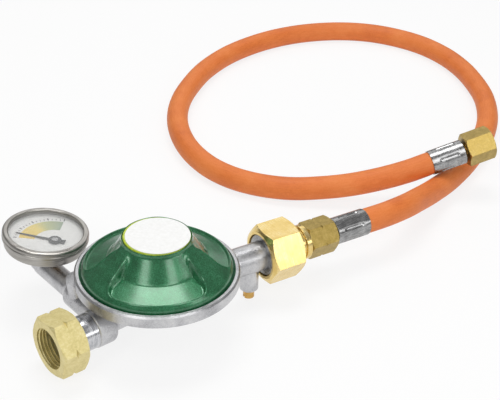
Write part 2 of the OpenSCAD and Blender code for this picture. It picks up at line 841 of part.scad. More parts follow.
// Bell crank: a long arm to the stem and a short arm to the plunger
module lever() {
    module bar(r, w) {
        rotate([90, 0, 0])
            cylinder(r = r, h = w, center = true);
    }
    color(steel)
        difference() {
            union() {
                translate([pin_x, 0, pin_z])
                    bar(hub_r, lever_w);
                translate([body_x, 0, pin_z])
                    bar(tip_r, tip_w);
                translate([body_x, -tip_w / 2, pin_z - arm_t / 2])
                    cube([lever_long, tip_w, arm_t]);
                translate([pin_x, 0, 0])
                    bar(toe_r, toe_w);
                translate([pin_x - arm_t / 2, -toe_w / 2, 0])
                    cube([arm_t, toe_w, pin_z]);
            }
            translate([pin_x, 0, pin_z])
                bar(pin_r + run_play, lever_w + 2 * cut);
        }
}

module lever_pin() {
    color(steel)
        translate([pin_x, ear_y + ear_t, pin_z])
            rotate([90, 0, 0])
                cylinder(r = pin_r, h = 2 * (ear_y + ear_t));
}

module valve_plunger() {
    tail_x = pin_x - plunger_tail_l / 2;
    tail_r0 = min(plunger_r - 0.2, -inner_floor_z - pass_gap, ear_y - pass_gap);
    slot_w = toe_w + 2 * pass_gap;
    flat = plunger_r * 0.86;
    color(brass)
        difference() {
            union() {
                intersection() {
                    rod_x(plunger_r, pad_x, pad_x + plunger_nose_l);
                    translate([pad_x - cut, -plunger_r - cut, -plunger_r - cut])
                        cube([plunger_nose_l + 2 * cut, flat + plunger_r + cut, 2 * (plunger_r + cut)]);
                }
                rod_x(plunger_waist_r, pad_x + plunger_nose_l, tail_x);
                rod_x(tail_r0, tail_x, tail_x + plunger_tail_l);
            }
            rod_x(pad_r + seat_play, pad_x - cut, pad_x + pad_t);
            translate([pin_x - tail_slot / 2, -slot_w / 2, -toe_r - pass_gap])
                cube([tail_slot, slot_w, plunger_r * 3]);
        }
}

module valve_seat_pad() {
    color(rubber)
        rod_x(pad_r, pad_x, pad_x + pad_t);
}

module inlet_nozzle() {
    lip_r0 = orifice_r + 0.5;
    cone_l = 2;
    color(brass)
        along_x()
            polygon([[orifice_r, nozzle_x], [nozzle_head_r, nozzle_x], [nozzle_head_r, nozzle_x + nozzle_head_l],
                [nozzle_r, nozzle_x + nozzle_head_l], [nozzle_r, tip_x - cone_l], [lip_r0, tip_x],
                [orifice_r, tip_x]]);
}

// Inlet

module inlet_spigot() {
    collar_r = inlet_thread_r - pass_gap;
    color(steel)
        along_x()
            polygon([[inlet_bore_r, collar_x], [collar_r, collar_x], [collar_r, inlet_depth],
                [spigot_r, inlet_depth], [spigot_r, boss_x], [spigot_root_r, boss_x],
                [spigot_root_r, root_x], [inlet_bore_r, root_x]]);
}

module inlet_nut() {
    color(pale_brass)
        difference() {
            hex_bar(inlet_af, inlet_nut_l, inlet_roll, inlet_chamfer);
            rod_x(inlet_thread_r, -cut, inlet_depth);
            rod_x(inlet_relief_r, inlet_thread_l, inlet_depth);
            rod_x(spigot_r + run_play, 0, inlet_nut_l + cut);
            corner_nick(inlet_af, inlet_nut_l / 2, inlet_roll);
        }
}

module inlet_seal() {
    color(rubber)
        along_x()
            polygon([[inlet_bore_r, collar_x - inlet_seal_t], [spigot_r - 1, collar_x - inlet_seal_t],
                [spigot_r - 0.2, collar_x], [inlet_bore_r, collar_x]]);
}

module inlet_filter() {
    filter_l = 5;
    filter_wall = 0.8;
    filter_r = inlet_bore_r - seat_play;
    color(brass)
        along_x()
            polygon([[0, collar_x + 1], [filter_r, collar_x + 1], [filter_r, collar_x + 1 + filter_l],
                [filter_r - filter_wall, collar_x + 1 + filter_l],
                [filter_r - filter_wall, collar_x + 1 + filter_wall], [0, collar_x + 1 + filter_wall]]);
}

// Gauge, measured from the centre of the bezel's top

module gauge_case() {
    corner = 1.2;
    color(steel)
        at_gauge()
            rotate_extrude()
                polygon([[gauge_thread_r + seat_play, -gauge_h], [case_r - corner, -gauge_h],
                    [case_r - corner * 0.3, -gauge_h + corner * 0.3], [case_r, -gauge_h + corner],
                    [case_r, lens_top - lens_t], [case_r - case_wall, lens_top - lens_t],
                    [case_r - case_wall, case_floor], [gauge_thread_r + seat_play, case_floor]]);
}

// Bezel of two rolled bands with a groove between them
module gauge_bezel() {
    band = 1.4;
    skirt = case_r + run_play;
    color(steel)
        at_gauge()
            rotate_extrude()
                polygon([[opening_r, lens_top], [opening_r, -0.5], [opening_r + 0.5, 0], [bezel_r - band, 0],
                    [bezel_r - band * 0.3, -band * 0.3], [bezel_r, -band], [bezel_r, -band - 0.6],
                    [bezel_r - 0.4, -band - 1], [bezel_r, -band - 1.4], [bezel_r, -band - 2.6],
                    [bezel_r - 0.4, -band - 3.2], [skirt, -band - 3.4], [skirt, lens_top]]);
}

module gauge_lens() {
    color(glass)
        at_gauge()
            translate([0, 0, lens_top - lens_t])
                cylinder(r = case_r - run_play, h = lens_t);
}

module gauge_dial() {
    color(white)
        at_gauge()
            difference() {
                translate([0, 0, dial_top - dial_t])
                    cylinder(r = case_r - case_wall - seat_play, h = dial_t);
                translate([pivot.x, pivot.y, dial_top - dial_t - cut])
                    cylinder(r = arbor_r + pass_gap, h = dial_t + 2 * cut);
            }
}

module gauge_pointer() {
    hub = 3.2;
    root_w = 1.7;
    tip_half = 0.3;
    counter_l = 5;
    color(rubber)
        at_gauge()
            translate([pivot.x, pivot.y, pointer_z])
                difference() {
                    union() {
                        cylinder(r = hub, h = pointer_t + 0.2);
                        rotate(pointer_zero)
                            linear_extrude(pointer_t)
                                polygon([[-counter_l, -root_w], [0, -root_w / 2], [pointer_l, -tip_half],
                                    [pointer_l, tip_half], [0, root_w / 2], [-counter_l, root_w]]);
                    }
                    translate([0, 0, -cut])
                        cylinder(r = arbor_r, h = pointer_t + 2 * cut);
                }
}

module pointer_cap() {
    color(steel)
        at_gauge()
            translate([pivot.x, pivot.y, pointer_z + pointer_t + 0.2])
                cylinder(r = 1.7, h = 0.3);
}

// Trapezium tooth between two radii, centred on the X axis
module tooth(root_r, top_r, pitch_r, teeth) {
    root_half = pitch_r * sin(180 / teeth * tooth_share) * 1.2;
    tip_half = pitch_r * sin(180 / teeth * tip_share);
    polygon([[root_r - 0.3, -root_half], [root_r, -root_half], [top_r, -tip_half], [top_r, tip_half],
        [root_r, root_half], [root_r - 0.3, root_half]]);
}

module pointer_pinion() {
    root_r = pinion_pr - dedendum;
    color(brass)
        at_gauge()
            translate([pivot.x, pivot.y, 0]) {
                translate([0, 0, plate_top])
                    cylinder(r = arbor_r, h = pointer_z + pointer_t + 0.2 - plate_top);
                translate([0, 0, gear_z - 0.2])
                    linear_extrude(pinion_t) {
                        circle(r = root_r);
                        for (k = [0 : pinion_teeth - 1])
                            rotate(mesh_angle + 180 + (k + 0.5) * 360 / pinion_teeth)
                                tooth(root_r, pinion_pr + addendum, pinion_pr, pinion_teeth);
                    }
            }
}

module sector_gear() {
    root_r = sector_pr - dedendum;
    step = 360 / sector_teeth;
    hub = 1.8;
    half_tooth = step / 2;
    first = (sector_first * step) - half_tooth;
    last = (sector_last * step) + half_tooth;
    color(brass)
        at_gauge()
            translate([sector_at.x, sector_at.y, 0]) {
                translate([0, 0, plate_top])
                    cylinder(r = arbor_r, h = bridge_top - bridge_t - plate_top);
                translate([0, 0, gear_z])
                    linear_extrude(gear_t)
                        rotate(mesh_angle) {
                            circle(r = hub);
                            polygon(concat([[0, 0]],
                                [for (k = [0 : 6]) let(a = first + (last - first) * k / 6)
                                    root_r * [cos(a), sin(a)]]));
                            for (k = [sector_first : sector_last])
                                rotate(k * step)
                                    tooth(root_r, sector_pr + addendum, sector_pr, sector_teeth);
                            rotate(180)
                                translate([0, -0.8])
                                    square([sector_tail_l, 1.6]);
                        }
            }
}

module gauge_link() {
    link_t = 0.5;
    tail_at = sector_at - (sector_tail_l - 0.8) * [cos(mesh_angle), sin(mesh_angle)];
    color(steel)
        at_gauge()
            translate([tail_at.x, tail_at.y, gear_z + gear_t])
                rotate(120)
                    linear_extrude(link_t) {
                        circle(r = 0.8);
                        translate([0, -0.4])
                            square([5, 0.8]);
                    }
}

// Back plate, posts and the bridge that the dial lies on
module gauge_movement() {
    post_r = 0.8;
    posts = [[-11, 7], [10, 7], [-11, -9], [10, -9]];
    color(brass)
        at_gauge()
            difference() {
                union() {
                    translate([0, 0, case_floor])
                        cylinder(r = tube_r - tube_w / 2 - pass_gap, h = plate_top - case_floor);
                    for (p = posts)
                        translate([p.x * 0.9, p.y * 0.9, case_floor])
                            cylinder(r = post_r, h = bridge_top - case_floor);
                    translate([0, 0, bridge_top - bridge_t])
                        cylinder(r = tube_r - tube_w / 2 - pass_gap, h = bridge_t);
                }
                for (p = [pivot, sector_at])
                    translate([p.x, p.y, bridge_top - bridge_t - cut])
                        cylinder(r = arbor_r + run_play, h = bridge_t + 2 * cut);
                translate([0, 0, case_floor - cut])
                    cylinder(r = gauge_thread_r + 1, h = plate_top - case_floor + 2 * cut);
                rotate(tube_start)
                    translate([0, -foot_w / 2 - seat_play, case_floor - cut])
                        cube([tube_r, foot_w + 2 * seat_play, plate_top - case_floor + 2 * cut]);
            }
}

module bourdon_tube() {
    bottom = case_floor + foot_t;
    color(brass)
        at_gauge()
            rotate(tube_start)
                translate([0, 0, bottom])
                    rotate_extrude(angle = tube_sweep)
                        difference() {
                            translate([tube_r - tube_w / 2, 0])
                                square([tube_w, tube_h]);
                            translate([tube_r - tube_w / 4, 0.4])
                                square([tube_w / 2, tube_h - 0.8]);
                        }
}

module gauge_stem() {
    head_r = gauge_thread_r + 0.8;
    head_t = foot_t;
    color(brass)
        at_gauge()
            difference() {
                union() {
                    translate([0, 0, seat_top - gauge_thread_l + 1])
                        cylinder(r = gauge_thread_r, h = case_floor + head_t - seat_top + gauge_thread_l - 1);
                    translate([0, 0, -gauge_h - stem_collar_t])
                        cylinder(r = seat_r - seat_play, h = stem_collar_t);
                    translate([0, 0, case_floor])
                        cylinder(r = head_r, h = head_t);
                    rotate(tube_start)
                        translate([0, -foot_w / 2, case_floor])
                            cube([tube_r + tube_w / 2, foot_w, head_t]);
                }
                translate([0, 0, seat_top - gauge_thread_l - cut])
                    cylinder(r = orifice_r, h = gauge_thread_l - seat_top + case_floor + cut);
            }
}

module gauge_seal() {
    color(rubber)
        at_gauge()
            translate([0, 0, seat_top])
                difference() {
                    cylinder(r = seat_r - 2 * seat_play, h = gauge_seal_t);
                    translate([0, 0, -cut])
                        cylinder(r = gauge_thread_r + seat_play, h = gauge_seal_t + 2 * cut);
                }
}

// Test screw and union

module test_screw() {
    slot_w = 0.9;
    slot_d = 1.6;
    shank_l = test_boss_z + outlet_z - outlet_bore_r;
    color(brass)
        at_outlet()
            translate([test_d, 0, -outlet_z - test_boss_z])
                difference() {
                    union() {
                        translate([0, 0, -test_head_h])
                            cylinder(r = test_head_r, h = test_head_h);
                        cylinder(r = test_shank_r, h = shank_l);
                    }
                    translate([-test_head_r - cut, -slot_w / 2, -test_head_h - cut])
                        cube([2 * (test_head_r + cut), slot_w, slot_d + cut]);
                }
}

module union_ring() {
    color(steel)
        at_outlet()
            along_x()
                polygon([[outlet_r + run_play, ring_d], [ring_r - 0.6, ring_d], [ring_r, ring_d + 0.6],
                    [ring_r, ring_d + ring_t], [outlet_r + run_play, ring_d + ring_t]]);
}

module union_nut() {
    color(brass)
        at_outlet()
            difference() {
                translate([union_d, 0, 0])
                    hex_bar(union_af, union_l, union_roll, union_chamfer);
                rod_x(union_bore_r, union_d - cut, union_d + union_l + cut);
                rod_x(ring_r + seat_play, union_d - cut, ring_d + ring_t);
            }
}

module outlet_washer() {
    color(rubber)
        at_outlet()
            along_x()
                polygon([[outlet_bore_r, face_d], [outlet_flange_r, face_d],
                    [outlet_flange_r, face_d + washer_t], [outlet_bore_r, face_d + washer_t]]);
}

// The adaptor's end is a hollow cone that the hose tail's nose seats in
module hose_adaptor() {
    bore_r = 3;
    thread_end = near_nut_d + hose_nut_l - hose_nut_back - tail_head_t - nose_play;
    cone_l = nose_r - bore_r;
    neck_r = shoulder_r - 1.2;
    male_end = union_d + union_l + adaptor_neck / 4;
    color(brass)
        at_outlet()
            along_x()
                polygon([[bore_r, adaptor_d], [union_thread_r, adaptor_d], [union_thread_r, male_end],
                    [neck_r, male_end], [neck_r, shoulder_d], [shoulder_r, shoulder_d],
                    [shoulder_r, shoulder_d + shoulder_t], [hose_thread_r - seat_play, shoulder_d + shoulder_t],
                    [hose_thread_r - seat_play, thread_end], [nose_r, thread_end],
                    [bore_r, thread_end - cone_l]]);
}

// Hose fittings, measured from the ferrule's mouth towards the nut

module hose_nut(roll) {
    difference() {
        translate([nut_at, 0, 0])
            hex_bar(hose_af, hose_nut_l, roll, hose_chamfer);
        rod_x(hose_thread_r, nut_at + hose_nut_back, fitting_l + cut);
        rod_x(hose_relief_r, nut_at + hose_nut_back, nut_at + hose_nut_back + hose_relief_l);
        rod_x(tail_r + run_play, nut_at - cut, fitting_l);
        corner_nick(hose_af, nut_at + hose_nut_l / 2, roll);
    }
}

// Tail with a coned nose inside the nut and a barbed nipple inside the hose
module hose_tail() {
    bore_r = 2;
    head_at = nut_at + hose_nut_back;
    head_r = hose_thread_r - pass_gap;
    nose_at = head_at + tail_head_t;
    barbs = 4;
    barb_l = (grip_l - 2) / barbs;
    barb_d = 0.3;
    color(brass)
        along_x()
            polygon(concat([[bore_r, 1]],
                [for (k = [0 : barbs - 1]) each [[nipple_r - barb_d, 1 + k * barb_l],
                    [nipple_r, 1 + (k + 0.9) * barb_l]]],
                [[nipple_r, ferrule_l - ferrule_back_t], [tail_r, ferrule_l - ferrule_back_t],
                    [tail_r, head_at], [head_r, head_at], [head_r, nose_at], [nose_r, nose_at],
                    [nose_r - nose_l, nose_at + nose_l], [bore_r, nose_at + nose_l]]));
}

// Steel sleeve, crimped on the hose by long oval dents
module ferrule() {
    dent_r = 3;
    dent_l = ferrule_l * 0.45;
    dent_at = (ferrule_l - dent_l) / 2;
    color(steel)
        difference() {
            along_x()
                polygon([[grip_r + seat_play, 0], [ferrule_r, 0], [ferrule_r, ferrule_l - 0.6],
                    [ferrule_r - 0.6, ferrule_l], [tail_r + seat_play, ferrule_l],
                    [tail_r + seat_play, ferrule_l - ferrule_back_t],
                    [grip_r + seat_play, ferrule_l - ferrule_back_t]]);
            for (k = [0 : dents - 1])
                rotate([k * 360 / dents, 0, 0])
                    translate([0, 0, ferrule_r + dent_r - dent_depth]) {
                        rod_x(dent_r, dent_at, dent_at + dent_l);
                        for (x = [dent_at, dent_at + dent_l])
                            translate([x, 0, 0])
                                sphere(r = dent_r);
                    }
        }
}

module hose_nut_near() {
    color(olive_brass)
        at_near_mouth()
            hose_nut(near_roll);
}

module hose_tail_near() {
    at_near_mouth()
        hose_tail();
}

module ferrule_near() {
    at_near_mouth()
        ferrule();
}

module ferrule_far() {
    at_far_mouth()
        ferrule();
}

module hose_tail_far() {
    at_far_mouth()
        hose_tail();
}

module hose_nut_far() {
    color(olive_brass)
        at_far_mouth()
            hose_nut(far_roll);
}

// Hose: a hollow tube swept along the route, drawn in where the ferrules grip it
module hose() {
    nip = 0.6;
    path = concat([[-grip_l, 0, 0], [-nip, 0, 0], [nip, 0, 0]], route,
        [route_end - nip * end_dir, route_end + nip * end_dir, route_end + grip_l * end_dir]);
    last = len(path) - 1;
    function outer(i) = i < 2 || i > last - 2 ? grip_r : hose_r;
    function heading(i) = i < 3 ? [1, 0, 0]
        : i > last - 3 ? end_dir
        : let(d = path[i + 1] - path[i - 1]) d / norm(d);
    function sideways(t) = let(s = cross([0, 0, 1], t)) s / norm(s);
    function ring(i, r) = let(t = heading(i), side = sideways(t), up = cross(t, side))
        [for (j = [0 : hose_sides - 1]) let(a = 360 * j / hose_sides)
            path[i] + r * (cos(a) * side + sin(a) * up)];
    outside = [for (i = [0 : last]) each ring(i, outer(i))];
    inside = [for (i = [0 : last]) each ring(i, hose_bore_d / 2)];
    shift = len(outside);
    function quad(i, j) = let(a = i * hose_sides + j, b = i * hose_sides + (j + 1) % hose_sides)
        [a, b, b + hose_sides, a + hose_sides];
    walls = [for (i = [0 : last - 1], j = [0 : hose_sides - 1]) let(q = quad(i, j))
        each [[q[0], q[2], q[1]], [q[0], q[3], q[2]],
            [shift + q[0], shift + q[1], shift + q[2]], [shift + q[0], shift + q[2], shift + q[3]]]];
    end = last * hose_sides;
    caps = [for (j = [0 : hose_sides - 1]) let(k = (j + 1) % hose_sides)
        each [[j, k, shift + k], [j, shift + k, shift + j],
            [end + j, shift + end + k, end + k], [end + j, shift + end + j, shift + end + k]]];
    color(orange)
        at_outlet()
            translate([mouth_d, 0, 0])
                polyhedron(concat(outside, inside), concat(walls, caps), convexity = 10);
}

body_casting();
lid();
top_cap();
label_disc();
adjusting_screw();
regulating_spring();
diaphragm();
diaphragm_plate();
diaphragm_stem();
lever();
lever_pin();
valve_plunger();
valve_seat_pad();
inlet_nozzle();
inlet_spigot();
inlet_nut();
inlet_seal();
inlet_filter();
test_screw();
gauge_case();
gauge_bezel();
gauge_lens();
gauge_dial();
gauge_pointer();
pointer_cap();
pointer_pinion();
sector_gear();
gauge_link();
gauge_movement();
bourdon_tube();
gauge_stem();
gauge_seal();
union_ring();
union_nut();
outlet_washer();
hose_adaptor();
hose_nut_near();
hose_tail_near();
ferrule_near();
hose();
ferrule_far();
hose_tail_far();
hose_nut_far();
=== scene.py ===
# %% [markdown]
# # A gas regulator with its gauge and hose
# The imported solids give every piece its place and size. This lesson dresses them: it rounds
# their edges, adds what is too fine for the solids, and gives each surface a finish.

import json
import math

import bmesh
import bpy
import numpy as np
from mathutils import Matrix, Vector


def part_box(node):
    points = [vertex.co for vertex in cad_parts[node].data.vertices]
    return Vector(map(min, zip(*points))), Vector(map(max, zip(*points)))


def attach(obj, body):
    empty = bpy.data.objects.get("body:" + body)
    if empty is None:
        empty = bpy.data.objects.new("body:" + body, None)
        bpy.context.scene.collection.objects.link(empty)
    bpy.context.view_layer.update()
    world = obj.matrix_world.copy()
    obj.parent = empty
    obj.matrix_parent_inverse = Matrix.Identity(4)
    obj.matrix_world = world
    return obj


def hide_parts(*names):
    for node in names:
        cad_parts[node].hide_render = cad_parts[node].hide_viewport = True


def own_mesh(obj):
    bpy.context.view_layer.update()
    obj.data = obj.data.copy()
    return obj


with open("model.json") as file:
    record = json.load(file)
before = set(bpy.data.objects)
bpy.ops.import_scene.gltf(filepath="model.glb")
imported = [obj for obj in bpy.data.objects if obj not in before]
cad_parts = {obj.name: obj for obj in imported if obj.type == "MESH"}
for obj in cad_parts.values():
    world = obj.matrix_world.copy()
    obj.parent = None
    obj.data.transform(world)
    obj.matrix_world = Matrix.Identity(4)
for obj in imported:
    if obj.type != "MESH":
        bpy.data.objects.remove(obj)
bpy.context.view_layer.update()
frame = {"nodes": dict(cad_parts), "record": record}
body_of_node = {}
for body, members in frame["record"]["behaviour"]["bodies"].items():
    for member in members:
        body_of_node[member] = body
slot_of_node = {part["node"]: part["material_slot"] for part in frame["record"]["subparts"]}

# %% [markdown]
# ## Camera
# The regulator was photographed from above its inlet side with a long lens. The three directions
# below are the picture's right, up and forward in the part's frame, found from the round rim, the
# gauge and the hexagons. A camera looks along its own -Z, so forward goes in with its sign turned.

# %% Camera
MM = 0.001
CAMERA_AT = Vector((-195.5, -365.2, 327.8)) * MM
PICTURE_RIGHT = Vector((0.7699, -0.6377, 0.0248))
PICTURE_FORWARD = Vector((0.5547, 0.6494, -0.5202))
LENS_MM = 82.8

right = PICTURE_RIGHT.normalized()
forward = (PICTURE_FORWARD - right * PICTURE_FORWARD.dot(right)).normalized()
up = right.cross(forward)
camera_data = bpy.data.cameras.new("photo_camera")
camera_data.lens = LENS_MM
camera_data.sensor_width = 36
camera_data.sensor_fit = "HORIZONTAL"
camera_data.clip_start = 0.01
camera = bpy.data.objects.new("photo_camera", camera_data)
camera.matrix_world = Matrix.Translation(CAMERA_AT) @ Matrix((right, up, -forward)).transposed().to_4x4()
bpy.context.collection.objects.link(camera)
bpy.context.scene.camera = camera
bpy.context.scene.view_settings.view_transform = "Standard"
print("camera distance to the bowl:", round((CAMERA_AT - Vector((0.0605, 0, 0.0186))).length, 3))

# %% [markdown]
# ## Writing finishes as sums
# A finish is a few noises and ramps added together. Wiring each one by hand hides that, so a
# socket is wrapped in a small class whose operators add the Math nodes. The same class serves
# shader trees and geometry trees, because both know the Math node.

# %% Sockets that can be added and multiplied
class Wire:
    """One output socket of a tree, with the arithmetic that this lesson uses."""

    def __init__(self, tree, socket):
        self.tree = tree
        self.socket = socket

    def sum_of(self, operation, first, second):
        node = self.tree.nodes.new("ShaderNodeMath")
        node.operation = operation
        for slot, value in zip(node.inputs, (first, second)):
            join(self.tree, slot, value)
        return Wire(self.tree, node.outputs[0])

    def __add__(self, other):
        return self.sum_of("ADD", self, other)

    def __radd__(self, other):
        return self.sum_of("ADD", other, self)

    def __sub__(self, other):
        return self.sum_of("SUBTRACT", self, other)

    def __rsub__(self, other):
        return self.sum_of("SUBTRACT", other, self)

    def __mul__(self, other):
        return self.sum_of("MULTIPLY", self, other)

    def __rmul__(self, other):
        return self.sum_of("MULTIPLY", other, self)

    def __truediv__(self, other):
        return self.sum_of("DIVIDE", self, other)


def join(tree, slot, value):
    """Puts a wire, a number or a colour into a socket."""
    if isinstance(value, Wire):
        tree.links.new(value.socket, slot)
    else:
        slot.default_value = value


def add_node(tree, kind, settings=None, sockets=None, out=0):
    """Adds one node: its settings first, then its sockets by name or number."""
    node = tree.nodes.new(kind)
    for name, value in (settings or {}).items():
        if name == "stops":
            ramp = node.color_ramp
            while len(ramp.elements) < len(value):
                ramp.elements.new(0.5)
            for element, (place, colour) in zip(ramp.elements, value):
                element.position = place
                element.color = colour
        else:
            setattr(node, name, value)
    for name, value in (sockets or {}).items():
        join(tree, node.inputs[name], value)
    return Wire(tree, node.outputs[out])


def paint(red, green, blue):
    """A colour as a screen shows it, turned to the linear numbers of a shader."""
    return tuple((c / 255 / 12.92) if c < 10.3 else ((c / 255 + 0.055) / 1.055) ** 2.4
                 for c in (red, green, blue)) + (1.0,)


class Finish:
    """A material with one Principled shader, and short words for the nodes that feed it."""

    def __init__(self, name, **plain):
        self.material = bpy.data.materials.new(name)
        self.material.use_nodes = True
        self.tree = self.material.node_tree
        self.shader = self.tree.nodes["Principled BSDF"]
        for socket, value in plain.items():
            self.shader.inputs[socket.replace("_", " ")].default_value = value

    def node(self, kind, settings=None, sockets=None, out=0):
        return add_node(self.tree, kind, settings, sockets, out)

    def feed(self, socket, value):
        join(self.tree, self.shader.inputs[socket], value)

    def place(self, stretch=(1, 1, 1), turn=(0, 0, 0), at=(0, 0, 0)):
        """Object coordinates, moved so that at is the middle, then turned and stretched."""
        where = self.node("ShaderNodeTexCoord", out=3)
        moved = self.node("ShaderNodeVectorMath", {"operation": "SUBTRACT"}, {0: where, 1: at})
        return self.node("ShaderNodeMapping", None, {"Vector": moved, "Rotation": turn, "Scale": stretch})

    def noise(self, size, detail=3, rough=0.55, where=None):
        """Noise whose patches are about size metres wide."""
        return self.node("ShaderNodeTexNoise", None, {
            "Vector": where or self.place(), "Scale": 1 / size, "Detail": detail, "Roughness": rough})

    def ramp(self, value, *stops):
        return self.node("ShaderNodeValToRGB", {"stops": stops}, {"Fac": value})

    def span(self, value, low, high):
        """Stretches a noise so that its usual spread covers low to high."""
        return self.node("ShaderNodeMapRange", None, {
            "Value": value, "From Min": 0.3, "From Max": 0.7, "To Min": low, "To Max": high})

    def bump(self, height, depth):
        """Relief of about depth metres."""
        self.feed("Normal", self.node("ShaderNodeBump", None, {
            "Strength": 1.0, "Distance": depth, "Height": height}))


finishes = {}
print("finish helpers ready")

# %% [markdown]
# ## Zinc casting
# The body is a pressure die casting in zinc. Its skin is pale grey, faintly orange-peeled and
# lightly tumbled, so it is satin rather than bright. Two noises make the skin: a broad one for
# the cloudy grey, and a fine one for the relief. A mirror metal with a bump would look machined.

# %% Zinc casting
cast = Finish("cast_zinc", Metallic=0.92)
cloud = cast.noise(0.009, 4)
grain = cast.noise(0.0007, 3, 0.65)
cast.feed("Base Color", cast.ramp(cloud * 0.6 + grain * 0.4,
                                  (0.32, paint(156, 156, 159)), (0.52, paint(198, 198, 200)),
                                  (0.72, paint(224, 224, 223))))
cast.feed("Roughness", cast.span(grain * 0.5 + cloud * 0.5, 0.24, 0.44))
cast.bump(grain * 0.7 + cloud * 0.3, 0.00016)
finishes["cast_zinc"] = cast.material
print("made", cast.material.name)

# %% [markdown]
# ## Metals off the lathe
# Turned pieces carry fine rings across their axis, drawn pieces run along it. Noise that is squeezed
# hard along one axis gives such lines. One function makes them all, since only the
# colour, the axis of the lines and the dullness differ.

# %% Metals off the lathe
OUTLET_TURN = math.radians(-8)


def turned_metal(name, dark, middle, pale, rough, lines=0.00035, spread=0.02, turn=0.0, metallic=1.0,
                 relief=0.00003, patina=0.006):
    """Metal with rings about an axis that lies along X after a turn about Z."""
    metal = Finish(name, Metallic=metallic)
    along = metal.place((1 / lines, 1 / spread, 1 / spread), (0, 0, -turn))
    rings = metal.noise(1.0, 2, 0.6, along)
    stain = metal.noise(patina, 4, 0.6)
    metal.feed("Base Color", metal.ramp(rings * 0.45 + stain * 0.55, (0.3, dark), (0.5, middle), (0.7, pale)))
    metal.feed("Roughness", metal.span(rings * 0.5 + stain * 0.5, rough - 0.08, rough + 0.1))
    metal.bump(rings, relief)
    finishes[name] = metal.material
    return metal


turned_metal("turned_steel", paint(150, 152, 156), paint(196, 197, 200), paint(226, 227, 229), 0.22,
             relief=0.00002)
turned_metal("plated_steel", paint(112, 112, 112), paint(152, 152, 152), paint(196, 196, 196), 0.26,
             lines=0.01, spread=0.0006, turn=OUTLET_TURN, relief=0.00001)
turned_metal("turned_brass", paint(170, 128, 64), paint(204, 162, 92), paint(226, 190, 122), 0.26,
             relief=0.00001)
turned_metal("golden_brass", paint(212, 180, 104), paint(233, 206, 136), paint(248, 230, 178), 0.24,
             turn=OUTLET_TURN, relief=0.00001)
turned_metal("pale_brass", paint(208, 192, 126), paint(226, 211, 148), paint(240, 228, 176), 0.42,
             lines=0.0011, spread=0.0009, metallic=0.6, relief=0.00004, patina=0.004)
turned_metal("olive_brass", paint(142, 120, 62), paint(170, 146, 80), paint(198, 174, 110), 0.34,
             lines=0.0009, spread=0.0008, turn=OUTLET_TURN, metallic=0.9, relief=0.00003, patina=0.003)
turned_metal("spring_steel", paint(90, 92, 96), paint(130, 132, 136), paint(170, 172, 175), 0.3)
print("made", len(finishes), "metals")

# %% [markdown]
# ## Brushed stainless steel of the gauge
# The gauge's case is spun from stainless sheet and brushed round its own axis, which leans.
# The lean is small, so lines that are level about the gauge's middle serve for the brushing.

# %% Brushed stainless steel
GAUGE_AT = Vector((32.988, 53.995, 23.0)) * MM
GAUGE_TURN = math.radians(-40.5)
GAUGE_LEAN = math.radians(6)
gauge_frame = (Matrix.Translation(GAUGE_AT) @ Matrix.Rotation(GAUGE_TURN, 4, "Z")
               @ Matrix.Rotation(GAUGE_LEAN, 4, "Y"))

stainless = Finish("stainless", Metallic=1.0)
around = stainless.place((40, 40, 2600), (0, 0, 0), tuple(GAUGE_AT))
brush = stainless.noise(1.0, 3, 0.6, around)
smear = stainless.noise(0.012, 2)
stainless.feed("Base Color", stainless.ramp(brush * 0.6 + smear * 0.4, (0.3, paint(132, 129, 124)),
                                            (0.5, paint(166, 163, 158)), (0.7, paint(198, 195, 190))))
stainless.feed("Roughness", stainless.span(brush, 0.26, 0.42))
stainless.bump(brush, 0.00001)
finishes["stainless"] = stainless.material
print("gauge axis:", [round(v, 3) for v in gauge_frame.to_3x3() @ Vector((0, 0, 1))])

# %% [markdown]
# ## Green enamel
# The lid wears a metallic enamel: green lacquer over tiny flakes under a clear coat. A Voronoi
# pattern gives each flake its own brightness, and the coat above it keeps the gloss smooth.

# %% Green enamel
enamel = Finish("green_enamel", Metallic=0.55, Coat_Weight=1.0, Coat_Roughness=0.2,
                Coat_IOR=1.6)
flakes = enamel.node("ShaderNodeTexVoronoi", None,
                     {"Vector": enamel.place(), "Scale": 1 / 0.00034, "Randomness": 1.0}, out=1)
sparkle = enamel.node("ShaderNodeSeparateColor", None, {"Color": flakes})
depth = enamel.noise(0.006, 3)
enamel.feed("Base Color", enamel.ramp(sparkle * 0.4 + depth * 0.6, (0.2, paint(10, 84, 46)),
                                      (0.5, paint(24, 112, 66)), (0.8, paint(62, 146, 100))))
enamel.feed("Roughness", enamel.span(sparkle, 0.3, 0.42))
enamel.bump(depth, 0.00005)
finishes["green_enamel"] = enamel.material
print("made", enamel.material.name)

# %% [markdown]
# ## Plastics, film, rubber and glass
# These are quiet surfaces. Each still gets what the real one shows: a moulded cap has a fine
# orange peel, film and dial paper have fibre, rubber has a dull bloom.

# %% Plastics, film, rubber and glass
def quiet(name, dark, pale, rough, grain_size, relief, **plain):
    """A plain surface with a faint mottle."""
    surface = Finish(name, **plain)
    mottle = surface.noise(grain_size, 4, 0.6)
    surface.feed("Base Color", surface.ramp(mottle, (0.3, dark), (0.7, pale)))
    surface.feed("Roughness", surface.span(mottle, rough - 0.06, rough + 0.08))
    surface.bump(mottle, relief)
    finishes[name] = surface.material
    return surface


